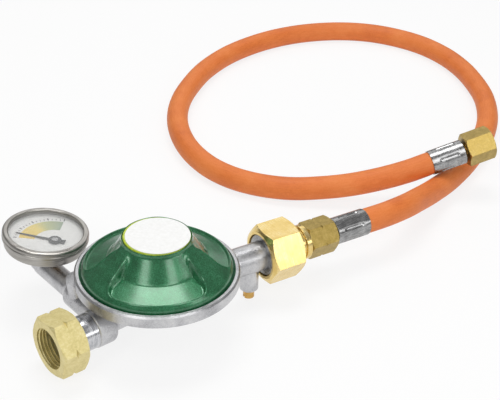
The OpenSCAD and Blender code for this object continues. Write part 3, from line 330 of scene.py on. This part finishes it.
quiet("lime_plastic", paint(176, 196, 40), paint(206, 222, 78), 0.3, 0.0012, 0.00002)
quiet("white_label", paint(240, 240, 238), paint(250, 250, 249), 0.42, 0.0016, 0.00001)
quiet("dial_white", paint(216, 215, 212), paint(230, 229, 226), 0.6, 0.0012, 0.00001)
quiet("pointer_black", paint(22, 22, 24), paint(40, 40, 42), 0.45, 0.0008, 0.00001)
quiet("black_rubber", paint(18, 18, 19), paint(36, 36, 38), 0.65, 0.0007, 0.00004)
quiet("print_grey", paint(48, 48, 52), paint(72, 72, 76), 0.6, 0.0008, 0.00001)
quiet("clear_glass", paint(246, 250, 250), paint(255, 255, 255), 0.08, 0.004, 0.000001, Alpha=0.1)
print("finishes so far:", len(finishes))

# %% [markdown]
# ## Orange hose rubber
# The hose is extruded rubber with a cloth feel: faint lines run along it, and handling has left
# duller patches. The pattern must follow the hose round its loop, so it reads the tube's own UV
# map, which runs round in U and along in V.

# %% Orange hose rubber
hose_rubber = Finish("orange_rubber")
hose_rubber.shader.inputs["Specular IOR Level"].default_value = 0.35
round_and_along = hose_rubber.node("ShaderNodeUVMap", {"uv_map": "hose_map"})
lines = hose_rubber.noise(1.0, 3, 0.6, hose_rubber.node(
    "ShaderNodeMapping", None, {"Vector": round_and_along, "Scale": (60, 14, 1)}))
bloom = hose_rubber.noise(0.02, 3)
pores = hose_rubber.noise(0.0009, 2)
hose_rubber.feed("Base Color", hose_rubber.ramp(lines * 0.3 + bloom * 0.5 + pores * 0.2,
                                                (0.3, paint(212, 106, 46)), (0.5, paint(230, 127, 62)),
                                                (0.7, paint(240, 146, 82))))
hose_rubber.feed("Roughness", hose_rubber.span(bloom, 0.46, 0.62))
hose_rubber.bump(lines * 0.5 + pores * 0.5, 0.00008)
finishes["orange_rubber"] = hose_rubber.material
print("made", hose_rubber.material.name)

# %% [markdown]
# ## Making and keeping a piece
# Every new piece is a mesh whose place is in its vertices. This helper names it, gives it its
# finish, rides it on a body and, where it stands for a solid, hides that solid.

# %% Making and keeping a piece
def piece(name, mesh, finish, body, stands_for=()):
    mesh.materials.clear()
    mesh.materials.append(finishes[finish])
    made = bpy.data.objects.new(name, mesh)
    bpy.context.collection.objects.link(made)
    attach(made, body)
    if stands_for:
        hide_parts(*stands_for)
    return made


def mesh_from(name, points, faces, smooth=True):
    mesh = bpy.data.meshes.new(name)
    mesh.from_pydata([tuple(p) for p in points], [], [tuple(int(i) for i in f) for f in faces])
    mesh.validate()
    if smooth:
        mesh.shade_smooth()
    return mesh


def applied(made):
    """The mesh of an object after its modifiers, with the modifiers taken off."""
    graph = bpy.context.evaluated_depsgraph_get()
    mesh = bpy.data.meshes.new_from_object(made.evaluated_get(graph))
    made.modifiers.clear()
    return mesh


print("piece helper ready")

# %% [markdown]
# ## The hose
# A hose is a fixed length of something stiff: it leaves the ferrule straight, comes down to the
# table, lies in one wide loop and crosses over itself. The route repeats the solid's points in
# the outlet's frame. A Catmull-Rom curve through them is smooth and passes every point.

# %% The hose's route
BODY_X = 60.5
OUTLET_Z = 6.5
NEAR_MOUTH = 121.0
FERRULE_LONG = 20.5
GRIP = FERRULE_LONG - 2
TABLE_Z = -15.85
FAR_TURN = math.radians(-16)
FAR_LIFT = math.radians(15)
route = [(14, 0, 0), (30, 3.5, -1.8), (45.5, 11, -6.2), (65.5, 21, -11.6), (87.5, 31.5, -15.2),
         (109.5, 42.5, TABLE_Z), (131.5, 56, TABLE_Z), (148.5, 69, TABLE_Z), (163.5, 84, TABLE_Z),
         (177.5, 103, TABLE_Z), (187.5, 123, TABLE_Z), (195.5, 146, TABLE_Z), (199, 170, TABLE_Z),
         (196.5, 194, TABLE_Z), (187.5, 215, TABLE_Z), (174.5, 231.5, TABLE_Z), (156.5, 244, TABLE_Z),
         (134, 252, TABLE_Z), (109.5, 254.5, TABLE_Z), (84.5, 251.5, TABLE_Z), (60.5, 244, TABLE_Z),
         (36.5, 231, TABLE_Z), (16, 214.5, TABLE_Z), (-0.5, 197.5, TABLE_Z), (-13.5, 178.5, TABLE_Z),
         (-22.5, 158, TABLE_Z), (-27.5, 136, TABLE_Z), (-27.5, 114.5, TABLE_Z), (-22.5, 96.5, TABLE_Z),
         (-13, 81, -15.7), (-0.5, 68, -15), (13.5, 58, -13.4), (28, 49.5, -11.2), (43.5, 42.4, -8.2),
         (59, 36.7, -4.6)]
route_end = np.array((72, 33, -1.0))
end_way = np.array((math.cos(FAR_LIFT) * math.cos(FAR_TURN), math.cos(FAR_LIFT) * math.sin(FAR_TURN),
                    math.sin(FAR_LIFT)))
outlet_frame = (Matrix.Translation(Vector((BODY_X, 0, OUTLET_Z)) * MM)
                @ Matrix.Rotation(OUTLET_TURN, 4, "Z") @ Matrix.Scale(MM, 4))
knots = np.array([(-GRIP, 0, 0), (-GRIP / 2, 0, 0), (0, 0, 0)] + route
                 + [tuple(route_end + s * end_way) for s in (0, GRIP / 2, GRIP)])
knots[:, 0] += NEAR_MOUTH


def smooth_route(points, step):
    """Points about step apart on a Catmull-Rom curve through the given ones."""
    way = []
    padded = np.vstack([2 * points[0] - points[1], points, 2 * points[-1] - points[-2]])
    for i in range(1, len(padded) - 2):
        a, b, c, d = padded[i - 1:i + 3]
        pieces = max(2, int(np.linalg.norm(c - b) / step))
        for t in np.arange(pieces) / pieces:
            way.append(0.5 * (2 * b + (c - a) * t + (2 * a - 5 * b + 4 * c - d) * t ** 2
                              + (3 * b - a - 3 * c + d) * t ** 3))
    way.append(points[-1])
    return np.array(way)


hose_path = np.array([outlet_frame @ Vector(p) for p in smooth_route(knots, 2.5)])
hose_long = float(np.linalg.norm(np.diff(hose_path, axis=0), axis=1).sum())
print("hose path points:", len(hose_path), "length:", round(hose_long, 4))

# %% The hose as a tube
HOSE_R = 13.3 / 2 * MM
GRIP_R = 6.2 * MM
BORE_R = 3.2 * MM
SIDES = 40


def tube(path, radii, bore):
    """A hollow tube along a path: outer skin, flat ends and bore, with U round and V along."""
    ways = np.gradient(path, axis=0)
    ways /= np.linalg.norm(ways, axis=1)[:, None]
    side = np.cross((0, 0, 1), ways)
    side /= np.linalg.norm(side, axis=1)[:, None]
    top = np.cross(ways, side)
    angles = np.arange(SIDES) * 2 * math.pi / SIDES
    circle = np.cos(angles)[None, :, None] * side[:, None] + np.sin(angles)[None, :, None] * top[:, None]
    outside = path[:, None] + np.asarray(radii)[:, None, None] * circle
    inside = path[:, None] + bore * circle
    rings = np.concatenate([outside, inside[::-1]])
    count = len(rings)
    faces = [(i * SIDES + j, i * SIDES + (j + 1) % SIDES, (i + 1) % count * SIDES + (j + 1) % SIDES,
              (i + 1) % count * SIDES + j) for i in range(count) for j in range(SIDES)]
    return rings.reshape(-1, 3), faces


travelled = np.concatenate([[0], np.cumsum(np.linalg.norm(np.diff(hose_path, axis=0), axis=1))])
from_mouth = np.minimum(travelled, hose_long - travelled) - GRIP * MM
hose_radii = np.where(from_mouth < -0.0006, GRIP_R,
                      np.minimum(HOSE_R, GRIP_R + np.maximum(from_mouth + 0.0006, 0) * 0.5))
points, faces = tube(hose_path, hose_radii, BORE_R)
hose_mesh = mesh_from("hose_skin", points, faces)
uv = hose_mesh.uv_layers.new(name="hose_map")
for polygon in hose_mesh.polygons:
    for corner in polygon.loop_indices:
        vertex = hose_mesh.loops[corner].vertex_index
        ring, spoke = divmod(vertex, SIDES)
        ring = min(ring, 2 * len(hose_path) - 1 - ring)
        last_spoke = max(v % SIDES for v in polygon.vertices) == SIDES - 1 and spoke == 0
        uv.data[corner].uv = ((SIDES if last_spoke and min(v % SIDES for v in polygon.vertices) == 0
                               else spoke) / SIDES, travelled[ring] / 0.1)
hose_skin = piece("hose_skin", hose_mesh, "orange_rubber", "regulator", ["hose"])
print("hose triangles:", 2 * len(hose_mesh.polygons))

# %% [markdown]
# ## Rounding the solids
# No cast or turned edge is sharp: a hair of radius catches the light and shows the form. A copy
# of a solid is merged, its flat faces are joined, and a narrow bevel runs over its sharp edges.

# %% Rounding the solids
WELD = 2e-6


def dressed(node, finish, width, corner=28.0, rings=2):
    """A rounded copy of a CAD node, in width millimetres, that stands for it."""
    mesh = frame["nodes"][node].data.copy()
    work = bmesh.new()
    work.from_mesh(mesh)
    bmesh.ops.remove_doubles(work, verts=work.verts, dist=WELD)
    bmesh.ops.dissolve_limit(work, angle_limit=math.radians(0.6), verts=work.verts, edges=work.edges)
    work.to_mesh(mesh)
    work.free()
    helper = bpy.data.objects.new("helper", mesh)
    bpy.context.collection.objects.link(helper)
    if width:
        bevel = helper.modifiers.new("edge", "BEVEL")
        bevel.width = width * MM
        bevel.segments = rings
        bevel.limit_method = "ANGLE"
        bevel.angle_limit = math.radians(corner)
        bevel.use_clamp_overlap = True
        bevel.miter_outer = "MITER_ARC"
        mesh.shade_smooth()
        flats = helper.modifiers.new("flats", "WEIGHTED_NORMAL")
        flats.weight = 100
    done = applied(helper)
    bpy.data.objects.remove(helper)
    if not width:
        done.shade_smooth()
        done.set_sharp_from_angle(angle=math.radians(32))
    return piece(node + "_skin", done, finish, body_of_node[node], [node])


for node, width in (("body_casting", 0.35), ("top_cap", 0.15), ("inlet_spigot", 0.2), ("inlet_nut", 0.3),
                    ("test_screw", 0.25), ("gauge_case", 0.1), ("gauge_bezel", 0.2), ("union_ring", 0.2),
                    ("union_nut", 0.3), ("hose_adaptor", 0.25), ("hose_nut_near", 0.3),
                    ("hose_nut_far", 0.3), ("hose_tail_near", 0.0), ("hose_tail_far", 0.0),
                    ("ferrule_near", 0.2), ("ferrule_far", 0.2), ("label_disc", 0.05),
                    ("pointer_cap", 0.1), ("gauge_stem", 0.0)):
    skin = dressed(node, slot_of_node[node], width)
    print(skin.name, len(skin.data.polygons), "faces")

# The label is stuck on by hand, a little off the middle.
LABEL_OFF = Vector((-0.26, -0.31, 0)) * MM
bpy.data.objects["label_disc_skin"].data.transform(Matrix.Translation(LABEL_OFF))
print("label off the middle by", round(LABEL_OFF.length / MM, 2), "mm")

# %% Finishes of the solids that stay
for name, node in frame["nodes"].items():
    material = finishes.get(slot_of_node[name], finishes["turned_brass"])
    if not node.material_slots:
        node.data.materials.append(material)
    for held in node.material_slots:
        held.material = material
print("solids with a finish:", len(frame["nodes"]))

# %% [markdown]
# ## The lid
# The lid is pressed from sheet: a cone with three pockets sunk into it between three ridges.
# Its height follows a rule of radius and angle, so it is drawn as one. The cone and the pocket
# are two profiles, and a mask with rounded corners blends them. Cutting boxes out of a cone
# would leave hard corners where the real one flows.

# %% The lid
RIM_Z = 18.6
LID_R = 36.8
CLAMP_R = 37.7
TOWER_TOP = RIM_Z + 17.3
TOWER_R = 16.2
TOWER_BORE = 12.5
COLLAR_R = 16.45
BEAD_Z = 15.8
LIP_UNDER = 17.2
POCKET_MIDS = [math.radians(a) for a in (234.5, 354.5, 114.5)]
POCKET_HALF = math.radians(44)
POCKET_OUT = 33.6
CORNER = 5.0
STEP_WIDE = 1.2
STEP_FADES = 0.9
FADE_R = 21.5
BEAD_HIGH = 0.38
COLLAR_HIGH = 1.0
LID_WALL = 1.5
LID_SPOKES = 540


def profile(radii, stations):
    """Height at each radius on a line through stations, with its corners softened."""
    fine = np.linspace(stations[0][0] - 3, stations[-1][0] + 3, 1200)
    heights = np.interp(fine, *zip(*stations))
    width = 0.5
    kernel = np.exp(-0.5 * (np.arange(-60, 61) * (fine[1] - fine[0]) / (width / 2)) ** 2)
    soft = np.convolve(np.pad(heights, 60, "edge"), kernel / kernel.sum(), "valid")
    return np.interp(radii, fine, soft)


tower = [(TOWER_BORE - 3, TOWER_TOP), (TOWER_R, TOWER_TOP)]
lid_edge = [(LID_R - 1.0, RIM_Z + 1.2), (LID_R - 0.7, LIP_UNDER), (LID_R + 3, LIP_UNDER)]
cone = tower + [(LID_R - 2.2, RIM_Z + 2.9)] + lid_edge
pocket = tower + [(23.6, RIM_Z + 6.3), (34, RIM_Z + 2.1)] + lid_edge
radii = np.concatenate([np.linspace(*span) for span in (
    (TOWER_BORE, 15.4, 5), (15.6, 17.4, 16), (17.8, 31, 36), (31.3, LID_R - 1.2, 22),
    (LID_R - 1.1, LID_R, 12))])
turns = np.arange(LID_SPOKES) * 2 * math.pi / LID_SPOKES
R, A = np.meshgrid(radii, turns)
off_mid = np.min([np.abs((A - m + math.pi) % (2 * math.pi) - math.pi) for m in POCKET_MIDS], axis=0)
beside = (off_mid - POCKET_HALF) * R
beyond = R - POCKET_OUT
edge = (np.hypot(np.maximum(beside + CORNER, 0), np.maximum(beyond + CORNER, 0))
        + np.minimum(np.maximum(beside + CORNER, beyond + CORNER), 0) - CORNER)
step = STEP_WIDE + STEP_FADES * np.maximum(FADE_R - R, 0)
sunk = np.clip(0.5 - edge / step, 0, 1)
sunk = sunk * sunk * (3 - 2 * sunk)
Z = profile(radii, cone)[None] * (1 - sunk) + profile(radii, pocket)[None] * sunk
Z += BEAD_HIGH * np.exp(-((edge - 0.9) / 0.45) ** 2) * np.clip((R - FADE_R + 2) / 2.5, 0, 1)
Z += COLLAR_HIGH * np.exp(-((R - COLLAR_R) / 0.35) ** 2)

loops = [(R[:, i], Z[:, i]) for i in range(len(radii))]
flange = [(LID_R, LIP_UNDER), (CLAMP_R, LIP_UNDER), (CLAMP_R, BEAD_Z), (LID_R - LID_WALL, BEAD_Z),
          (LID_R - LID_WALL, RIM_Z - 1)]
loops += [(np.full(LID_SPOKES, r), np.full(LID_SPOKES, z)) for r, z in flange]
loops += [(R[:, i], Z[:, i] - LID_WALL) for i in range(len(radii) - 4, -1, -4)]
lid_points = np.array([(BODY_X + r * np.cos(turns), r * np.sin(turns), z) for r, z in loops])
lid_points = lid_points.transpose(0, 2, 1).reshape(-1, 3) * MM
count = len(loops)
lid_faces = [(i * LID_SPOKES + j, (i + 1) % count * LID_SPOKES + j,
              (i + 1) % count * LID_SPOKES + (j + 1) % LID_SPOKES, i * LID_SPOKES + (j + 1) % LID_SPOKES)
             for i in range(count) for j in range(LID_SPOKES)]
lid_mesh = mesh_from("lid_shell", lid_points, lid_faces)
work = bmesh.new()
work.from_mesh(lid_mesh)
bmesh.ops.recalc_face_normals(work, faces=work.faces)
work.to_mesh(lid_mesh)
work.free()
lid_mesh.set_sharp_from_angle(angle=math.radians(40))
piece("lid_shell", lid_mesh, "green_enamel", "regulator", ["lid"])
print("lid faces:", len(lid_mesh.polygons))

# %% [markdown]
# ## The vent
# The space over the diaphragm breathes through a small oval vent at the foot of one pocket's wall.
# Its eyelet follows the lid's slope, which the height rule gives. Ovals of several sizes make the
# rim, and a thin black slab inside it is painted shade for the dark hole.

# %% The vent
VENT_TURN = math.radians(331)
VENT_AT = 23.0
VENT_LONG = 1.7
VENT_WIDE = 0.95
VENT_SIDES = 32
below, above = profile(np.array([VENT_AT - 0.1, VENT_AT + 0.1]), pocket)
outward = Vector((math.cos(VENT_TURN), math.sin(VENT_TURN), (above - below) / 0.2)).normalized()
aside = Vector((-math.sin(VENT_TURN), math.cos(VENT_TURN), 0))
proud = outward.cross(aside)
vent_mid = Vector((BODY_X + VENT_AT * math.cos(VENT_TURN), VENT_AT * math.sin(VENT_TURN),
                   (below + above) / 2))


def oval(share, height):
    """One oval ring of the eyelet, height millimetres over the lid."""
    return [tuple((vent_mid + outward * VENT_LONG * share * math.cos(a)
                   + aside * VENT_WIDE * share * math.sin(a) + proud * height) * MM)
            for a in np.arange(VENT_SIDES) * 2 * math.pi / VENT_SIDES]


def wrapped(rings, closed):
    """Faces between rings of the eyelet, and from the last ring to the first where closed."""
    return [(k * VENT_SIDES + j, k * VENT_SIDES + (j + 1) % VENT_SIDES,
             (k + 1) % rings * VENT_SIDES + (j + 1) % VENT_SIDES, (k + 1) % rings * VENT_SIDES + j)
            for k in range(rings if closed else rings - 1) for j in range(VENT_SIDES)]


rim_rings = oval(1.25, -0.1) + oval(1.1, 0.18) + oval(0.95, 0.18) + oval(0.9, -0.1)
piece("vent_rim", mesh_from("vent_rim", rim_rings, wrapped(4, True)), "green_enamel", "regulator")
caps = [tuple(range(VENT_SIDES)), tuple(range(2 * VENT_SIDES - 1, VENT_SIDES - 1, -1))]
sides = [face[::-1] for face in wrapped(2, False)]
# Painted shade: a thin black slab inside the rim stands for the shadowed inside of the vent hole.
vent_shade_mesh = mesh_from("vent_painted_shade", oval(0.94, 0.04) + oval(0.94, -0.1), caps + sides, smooth=False)
piece("vent_painted_shade", vent_shade_mesh, "black_rubber", "regulator")
print("vent at", [round(v, 1) for v in vent_mid])

# %% [markdown]
# ## The regulating spring
# The spring under the lid sets the pressure. It is wire wound on a helix whose end turns lie close,
# so a curve follows that rule and a round bevel gives it its wire. The real spring shortens as the diaphragm
# rises; this coil is built at one length and rides the casting.

# %% The regulating spring
SPRING_R = 8.6
WIRE_R = 0.6
SPRING_FOOT = 16.4
SPRING_HEAD = 29.1
TURNS = 6
CLOSE_LIFT = 1.65

travel = np.linspace(0, TURNS, TURNS * 40 + 1)
rise = np.interp(travel, (0, 1, TURNS - 1, TURNS),
                 (SPRING_FOOT + WIRE_R, SPRING_FOOT + WIRE_R + CLOSE_LIFT,
                  SPRING_HEAD - WIRE_R - CLOSE_LIFT, SPRING_HEAD - WIRE_R))
wire_curve = bpy.data.curves.new("wire", "CURVE")
wire_curve.dimensions = "3D"
wire_curve.bevel_depth = WIRE_R * MM
wire_curve.bevel_resolution = 4
wire_curve.use_fill_caps = True
winding = wire_curve.splines.new("POLY")
winding.points.add(len(travel) - 1)
for point, t, z in zip(winding.points, travel * 2 * math.pi, rise):
    point.co = ((BODY_X + SPRING_R * math.cos(t)) * MM, SPRING_R * math.sin(t) * MM, z * MM, 1)
wound = bpy.data.objects.new("wire", wire_curve)
bpy.context.collection.objects.link(wound)
coil_mesh = applied(wound)
bpy.data.objects.remove(wound)
coil = piece("regulating_coil", coil_mesh, "spring_steel", "regulator", ["regulating_spring"])
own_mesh(coil)
print("coil faces:", len(coil_mesh.polygons))

# %% [markdown]
# ## The diaphragm
# The diaphragm is a rubber skin with one rolled fold: its bead is clamped under the lid and its
# middle rises with the plate. The fold's crest is where the two motions part, so the skin is split
# there. The middle rides the moving body and the edge stays with the casting.

# %% The diaphragm
low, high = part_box("diaphragm_plate")
PLATE_REACH = (high[0] - low[0]) / 2
diaphragm_mid = Vector((BODY_X * MM, 0))


def part_of_diaphragm(middle, crest):
    """The skin inside or outside the fold's crest, closed again where it was split."""
    mesh = frame["nodes"]["diaphragm"].data.copy()
    work = bmesh.new()
    work.from_mesh(mesh)
    bmesh.ops.remove_doubles(work, verts=work.verts, dist=WELD)
    spare = [f for f in work.faces
             if ((f.calc_center_median().xy - diaphragm_mid).length > crest) == middle]
    bmesh.ops.delete(work, geom=spare, context="FACES")
    bmesh.ops.bridge_loops(work, edges=[e for e in work.edges if e.is_boundary])
    bmesh.ops.recalc_face_normals(work, faces=work.faces)
    work.to_mesh(mesh)
    work.free()
    mesh.shade_smooth()
    mesh.set_sharp_from_angle(angle=math.radians(40))
    return mesh


top = max(frame["nodes"]["diaphragm"].data.vertices,
          key=lambda v: v.co.z if (v.co.xy - diaphragm_mid).length > PLATE_REACH else -1)
CREST = (top.co.xy - diaphragm_mid).length - 1e-5
print("crest of the fold:", round(CREST, 4))
for name, middle, body in (("diaphragm_middle", True, "diaphragm_body"),
                           ("diaphragm_edge", False, "regulator")):
    made = piece(name, part_of_diaphragm(middle, CREST), slot_of_node["diaphragm"], body, ["diaphragm"])
    print(name, len(made.data.polygons), "faces")

# %% [markdown]
# ## Marks on the dial
# A dial repeats one mark along an arc, which is what Geometry Nodes are for: an arc of points,
# one small bar on each, turned to face the pivot. Long and short marks use the same tree with
# other inputs. The pointer and the lens are right as solids and only take a finish.

# %% Opening and closing a geometry tree
def open_tree(name, **inputs):
    """A new geometry tree with named inputs, and a wire from each of them."""
    tree = bpy.data.node_groups.new(name, "GeometryNodeTree")
    for label, kind in inputs.items():
        tree.interface.new_socket(label, in_out="INPUT", socket_type="NodeSocket" + kind)
    tree.interface.new_socket("Geometry", in_out="OUTPUT", socket_type="NodeSocketGeometry")
    given = tree.nodes.new("NodeGroupInput")
    return tree, {label: Wire(tree, given.outputs[label]) for label in inputs}


def close_tree(tree, made, finish):
    """Makes instances real, gives them their finish and sends them out."""
    real = add_node(tree, "GeometryNodeRealizeInstances", None, {"Geometry": made})
    done = add_node(tree, "GeometryNodeSetMaterial", None, {"Geometry": real, "Material": finish})
    sent = tree.nodes.new("NodeGroupOutput")
    tree.links.new(done.socket, sent.inputs[0])
    return tree


print("tree helpers ready")

# %% A tree for marks along an arc
def mark_tree():
    tree, value = open_tree("marks_on_an_arc", Marks="Int", Radius="Float", First="Float", Sweep="Float",
                            Length="Float", Width="Float", Height="Float", Finish="Material")
    line = add_node(tree, "GeometryNodeMeshLine", None, {"Count": value["Marks"]})
    index = add_node(tree, "GeometryNodeInputIndex")
    angle = value["First"] + value["Sweep"] * index / (value["Marks"] - 1)
    spot = add_node(tree, "ShaderNodeCombineXYZ", None, {
        "X": angle.sum_of("COSINE", angle, 0.0) * value["Radius"],
        "Y": angle.sum_of("SINE", angle, 0.0) * value["Radius"]})
    placed = add_node(tree, "GeometryNodeSetPosition", None, {"Geometry": line, "Position": spot})
    size = add_node(tree, "ShaderNodeCombineXYZ", None, {
        "X": value["Length"], "Y": value["Width"], "Z": value["Height"]})
    bar = add_node(tree, "GeometryNodeMeshCube", None, {"Size": size})
    spin = add_node(tree, "ShaderNodeCombineXYZ", None, {"Z": angle})
    bars = add_node(tree, "GeometryNodeInstanceOnPoints", None, {
        "Points": placed, "Instance": bar, "Rotation": spin})
    return close_tree(tree, bars, value["Finish"])


def grown(tree, place, **inputs):
    """The mesh that a tree makes from its inputs, put in its place."""
    seed = bpy.data.objects.new("seed", bpy.data.meshes.new("seed"))
    bpy.context.collection.objects.link(seed)
    modifier = seed.modifiers.new("grow", "NODES")
    modifier.node_group = tree
    for item in tree.interface.items_tree:
        if item.in_out == "INPUT":
            modifier[item.identifier] = inputs[item.name]
    mesh = applied(seed)
    bpy.data.objects.remove(seed)
    mesh.transform(place)
    return mesh


marks = mark_tree()
print("tree inputs:", [item.name for item in marks.interface.items_tree if item.in_out == "INPUT"])

# %% Marks and colours of the dial
DIAL_TOP = -3.5
PIVOT = Vector((5.1, -3.6, DIAL_TOP))
BAND_FROM = math.radians(182)
BAND_TO = math.radians(85)
BAND_IN = 9.8
BAND_OUT = 17.4
PRINT_T = 0.06
dial_place = gauge_frame @ Matrix.Scale(MM, 4) @ Matrix.Translation(PIVOT + Vector((0, 0, PRINT_T / 2)))

for name, many, reach, width in (("dial_short_marks", 17, 1.1, 0.3), ("dial_long_marks", 5, 1.7, 0.55)):
    mesh = grown(marks, dial_place, Marks=many, Radius=18.4 + reach / 2, First=BAND_FROM,
                 Sweep=BAND_TO - BAND_FROM, Length=reach, Width=width, Height=PRINT_T,
                 Finish=finishes["print_grey"])
    piece(name, mesh, "print_grey", "regulator")
    print(name, len(mesh.polygons), "faces")

band_finish = Finish("dial_band")
across = band_finish.node("ShaderNodeUVMap", {"uv_map": "band_map"})
share = band_finish.node("ShaderNodeSeparateXYZ", None, {"Vector": across})
speck = band_finish.noise(0.0006, 2)
band_finish.feed("Base Color", band_finish.ramp(
    share * 0.96 + speck * 0.04, (0.0, paint(226, 192, 88)), (0.45, paint(222, 200, 104)),
    (0.68, paint(176, 180, 128)), (1.0, paint(140, 158, 136))))
band_finish.feed("Roughness", band_finish.span(speck, 0.5, 0.65))
finishes["dial_band"] = band_finish.material

steps = 72
band_points = []
for k in range(steps + 1):
    a = BAND_FROM + (BAND_TO - BAND_FROM) * k / steps
    for r, z in ((BAND_IN, PRINT_T), (BAND_OUT, PRINT_T), (BAND_OUT, 0), (BAND_IN, 0)):
        band_points.append((r * math.cos(a), r * math.sin(a), z))
band_faces = [(4 * k + c, 4 * k + (c + 1) % 4, 4 * k + 4 + (c + 1) % 4, 4 * k + 4 + c)
              for k in range(steps) for c in range(4)]
band_faces += [(3, 2, 1, 0), (4 * steps, 4 * steps + 1, 4 * steps + 2, 4 * steps + 3)]
band_mesh = mesh_from("dial_band", band_points, band_faces, smooth=False)
band_uv = band_mesh.uv_layers.new(name="band_map")
for loop in band_mesh.loops:
    band_uv.data[loop.index].uv = (loop.vertex_index // 4 / steps, 0.5)
band_mesh.transform(gauge_frame @ Matrix.Scale(MM, 4) @ Matrix.Translation(PIVOT))
piece("dial_band", band_mesh, "dial_band", "regulator")
print("dial band faces:", len(band_mesh.polygons))

# %% [markdown]
# ## Threads
# A thread is a ridge that climbs along a helix, so Geometry Nodes sweep a small triangle along a
# spiral. The inlet nut and the far hose nut are open to view and show their threads.

# %% A tree for a thread
def thread_tree():
    tree, value = open_tree("thread", Turns="Float", Radius="Float", Length="Float", Ridge="Float",
                            Finish="Material")
    spiral = add_node(tree, "GeometryNodeCurveSpiral", None, {
        "Resolution": 48, "Rotations": value["Turns"], "Start Radius": value["Radius"],
        "End Radius": value["Radius"], "Height": value["Length"], "Reverse": True})
    shape = add_node(tree, "GeometryNodeCurvePrimitiveCircle", None, {
        "Resolution": 4, "Radius": value["Ridge"]})
    swept = add_node(tree, "GeometryNodeCurveToMesh", None, {
        "Curve": spiral, "Profile Curve": shape, "Fill Caps": True})
    return close_tree(tree, swept, value["Finish"])


threads = thread_tree()
HOSE_NUT_LONG = 16.2
FITTING_LONG = FERRULE_LONG + 1 + HOSE_NUT_LONG
into_x = Matrix.Rotation(math.radians(90), 4, "Y")
far_frame = (outlet_frame @ Matrix.Translation(Vector(route_end) + Vector((NEAR_MOUTH, 0, 0)))
             @ Matrix.Rotation(FAR_TURN, 4, "Z") @ Matrix.Rotation(-FAR_LIFT, 4, "Y"))
for name, place, turns_in, radius, long, ridge, finish, body in (
        ("inlet_thread", Matrix.Scale(MM, 4) @ Matrix.Translation((0.9, 0, 0)) @ into_x,
         3.2, 10.15, 5.6, 0.6, "pale_brass", "inlet_nut_body"),
        ("far_nut_thread", far_frame @ Matrix.Translation((FITTING_LONG - 7, 0, 0)) @ into_x,
         4.5, 5.85, 6.0, 0.45, "olive_brass", "far_nut_body")):
    mesh = grown(threads, place, Turns=turns_in, Radius=radius, Length=long, Ridge=ridge,
                 Finish=finishes[finish])
    mesh.shade_smooth()
    mesh.set_sharp_from_angle(angle=math.radians(40))
    piece(name, mesh, finish, body)
    print(name, len(mesh.polygons), "faces")

# %% [markdown]
# ## Light and floor
# The photograph is a cut-out on white under soft light. A lamp hangs behind and above, where the
# floors of the lid's pockets mirror it. Two upright strips stand left and right of the camera and
# draw the streaks on the steep walls. A card behind lights the tops of the nuts, and a low card at
# the side lights the flat of the union nut. The sky darkens towards the horizon, so that metal shows
# form. The floor is mixed with white for the camera and for mirrors, and still takes the shadow.

# %% Floor
FLOOR_Z = -16.1 * MM
FLOOR_HALF = 15
FLOOR_WHITE = 0.82
floor_mesh = mesh_from("floor", [
    (x * FLOOR_HALF, y * FLOOR_HALF, FLOOR_Z) for x, y in ((-1, -1), (1, -1), (1, 1), (-1, 1))],
    [(0, 1, 2, 3)], smooth=False)
floor_finish = Finish("floor_white", Roughness=0.8)
floor_finish.shader.inputs["Base Color"].default_value = (0.92, 0.92, 0.92, 1)
rays = floor_finish.tree.nodes.new("ShaderNodeLightPath")
by_camera, by_mirror, by_glass = (Wire(floor_finish.tree, rays.outputs[f"Is {kind} Ray"])
                                  for kind in ("Camera", "Glossy", "Transmission"))
seen = by_camera + by_mirror + by_glass
seen = seen.sum_of("MINIMUM", seen, 1.0)
glow = floor_finish.node("ShaderNodeEmission", None, {"Color": (1, 1, 1, 1), "Strength": 1.0})
shown = floor_finish.node("ShaderNodeMixShader", None, {
    0: seen * FLOOR_WHITE, 1: Wire(floor_finish.tree, floor_finish.shader.outputs[0]), 2: glow})
join(floor_finish.tree, floor_finish.tree.nodes["Material Output"].inputs["Surface"], shown)
floor_mesh.materials.append(floor_finish.material)
floor = bpy.data.objects.new("floor", floor_mesh)
bpy.context.collection.objects.link(floor)
print("floor at", FLOOR_Z)

# %% World and lamps
world = bpy.data.worlds.new("studio")
bpy.context.scene.world = world
world.use_nodes = True
sky = world.node_tree
way_up = add_node(sky, "ShaderNodeSeparateXYZ", None, {"Vector": add_node(sky, "ShaderNodeTexCoord")}, out=2)
HORIZON = 0.16
ZENITH = 0.38
background = sky.nodes["Background"]
background.inputs["Color"].default_value = (1, 1, 1, 1)
join(sky, background.inputs["Strength"],
     way_up.sum_of("MAXIMUM", way_up, 0.0) * (ZENITH - HORIZON) + HORIZON)


def lamp(name, turn, lift, size, watts, far=1.0):
    """A soft lamp round the bowl: its direction, its height in degrees and its width and height."""
    data = bpy.data.lights.new(name, "AREA")
    data.shape = "RECTANGLE"
    data.size, data.size_y = size
    data.energy = watts
    made = bpy.data.objects.new(name, data)
    turn, lift = math.radians(turn), math.radians(lift)
    bowl = Vector((0.1, 0.02, 0.0))
    way = Vector((math.cos(turn) * math.cos(lift), math.sin(turn) * math.cos(lift), math.sin(lift)))
    made.location = bowl + way * far
    made.rotation_euler = (-way).to_track_quat("-Z", "Y").to_euler()
    bpy.context.collection.objects.link(made)


lamp("overhead", 56, 76, (0.55, 0.36), 3.9)
lamp("left_strip", 203, 42, (0.3, 0.6), 2.1)
lamp("right_strip", 268, 42, (0.3, 0.6), 2.0)
lamp("back_card", 50, 33, (1.0, 0.5), 1.4)
lamp("side_card", 292, 19, (0.4, 0.2), 0.85)

# %% [markdown]
# ## The hose's length and far fitting
# The hose's length along its path is printed, and the pieces of its far fitting are gathered in a list.

# %% The hose's length and far fitting
far_pieces = [bpy.data.objects[n + "_skin"] for n in ("ferrule_far", "hose_tail_far", "hose_nut_far")]
far_pieces.append(bpy.data.objects["far_nut_thread"])
print("cord length:", round(hose_long, 3), "m")
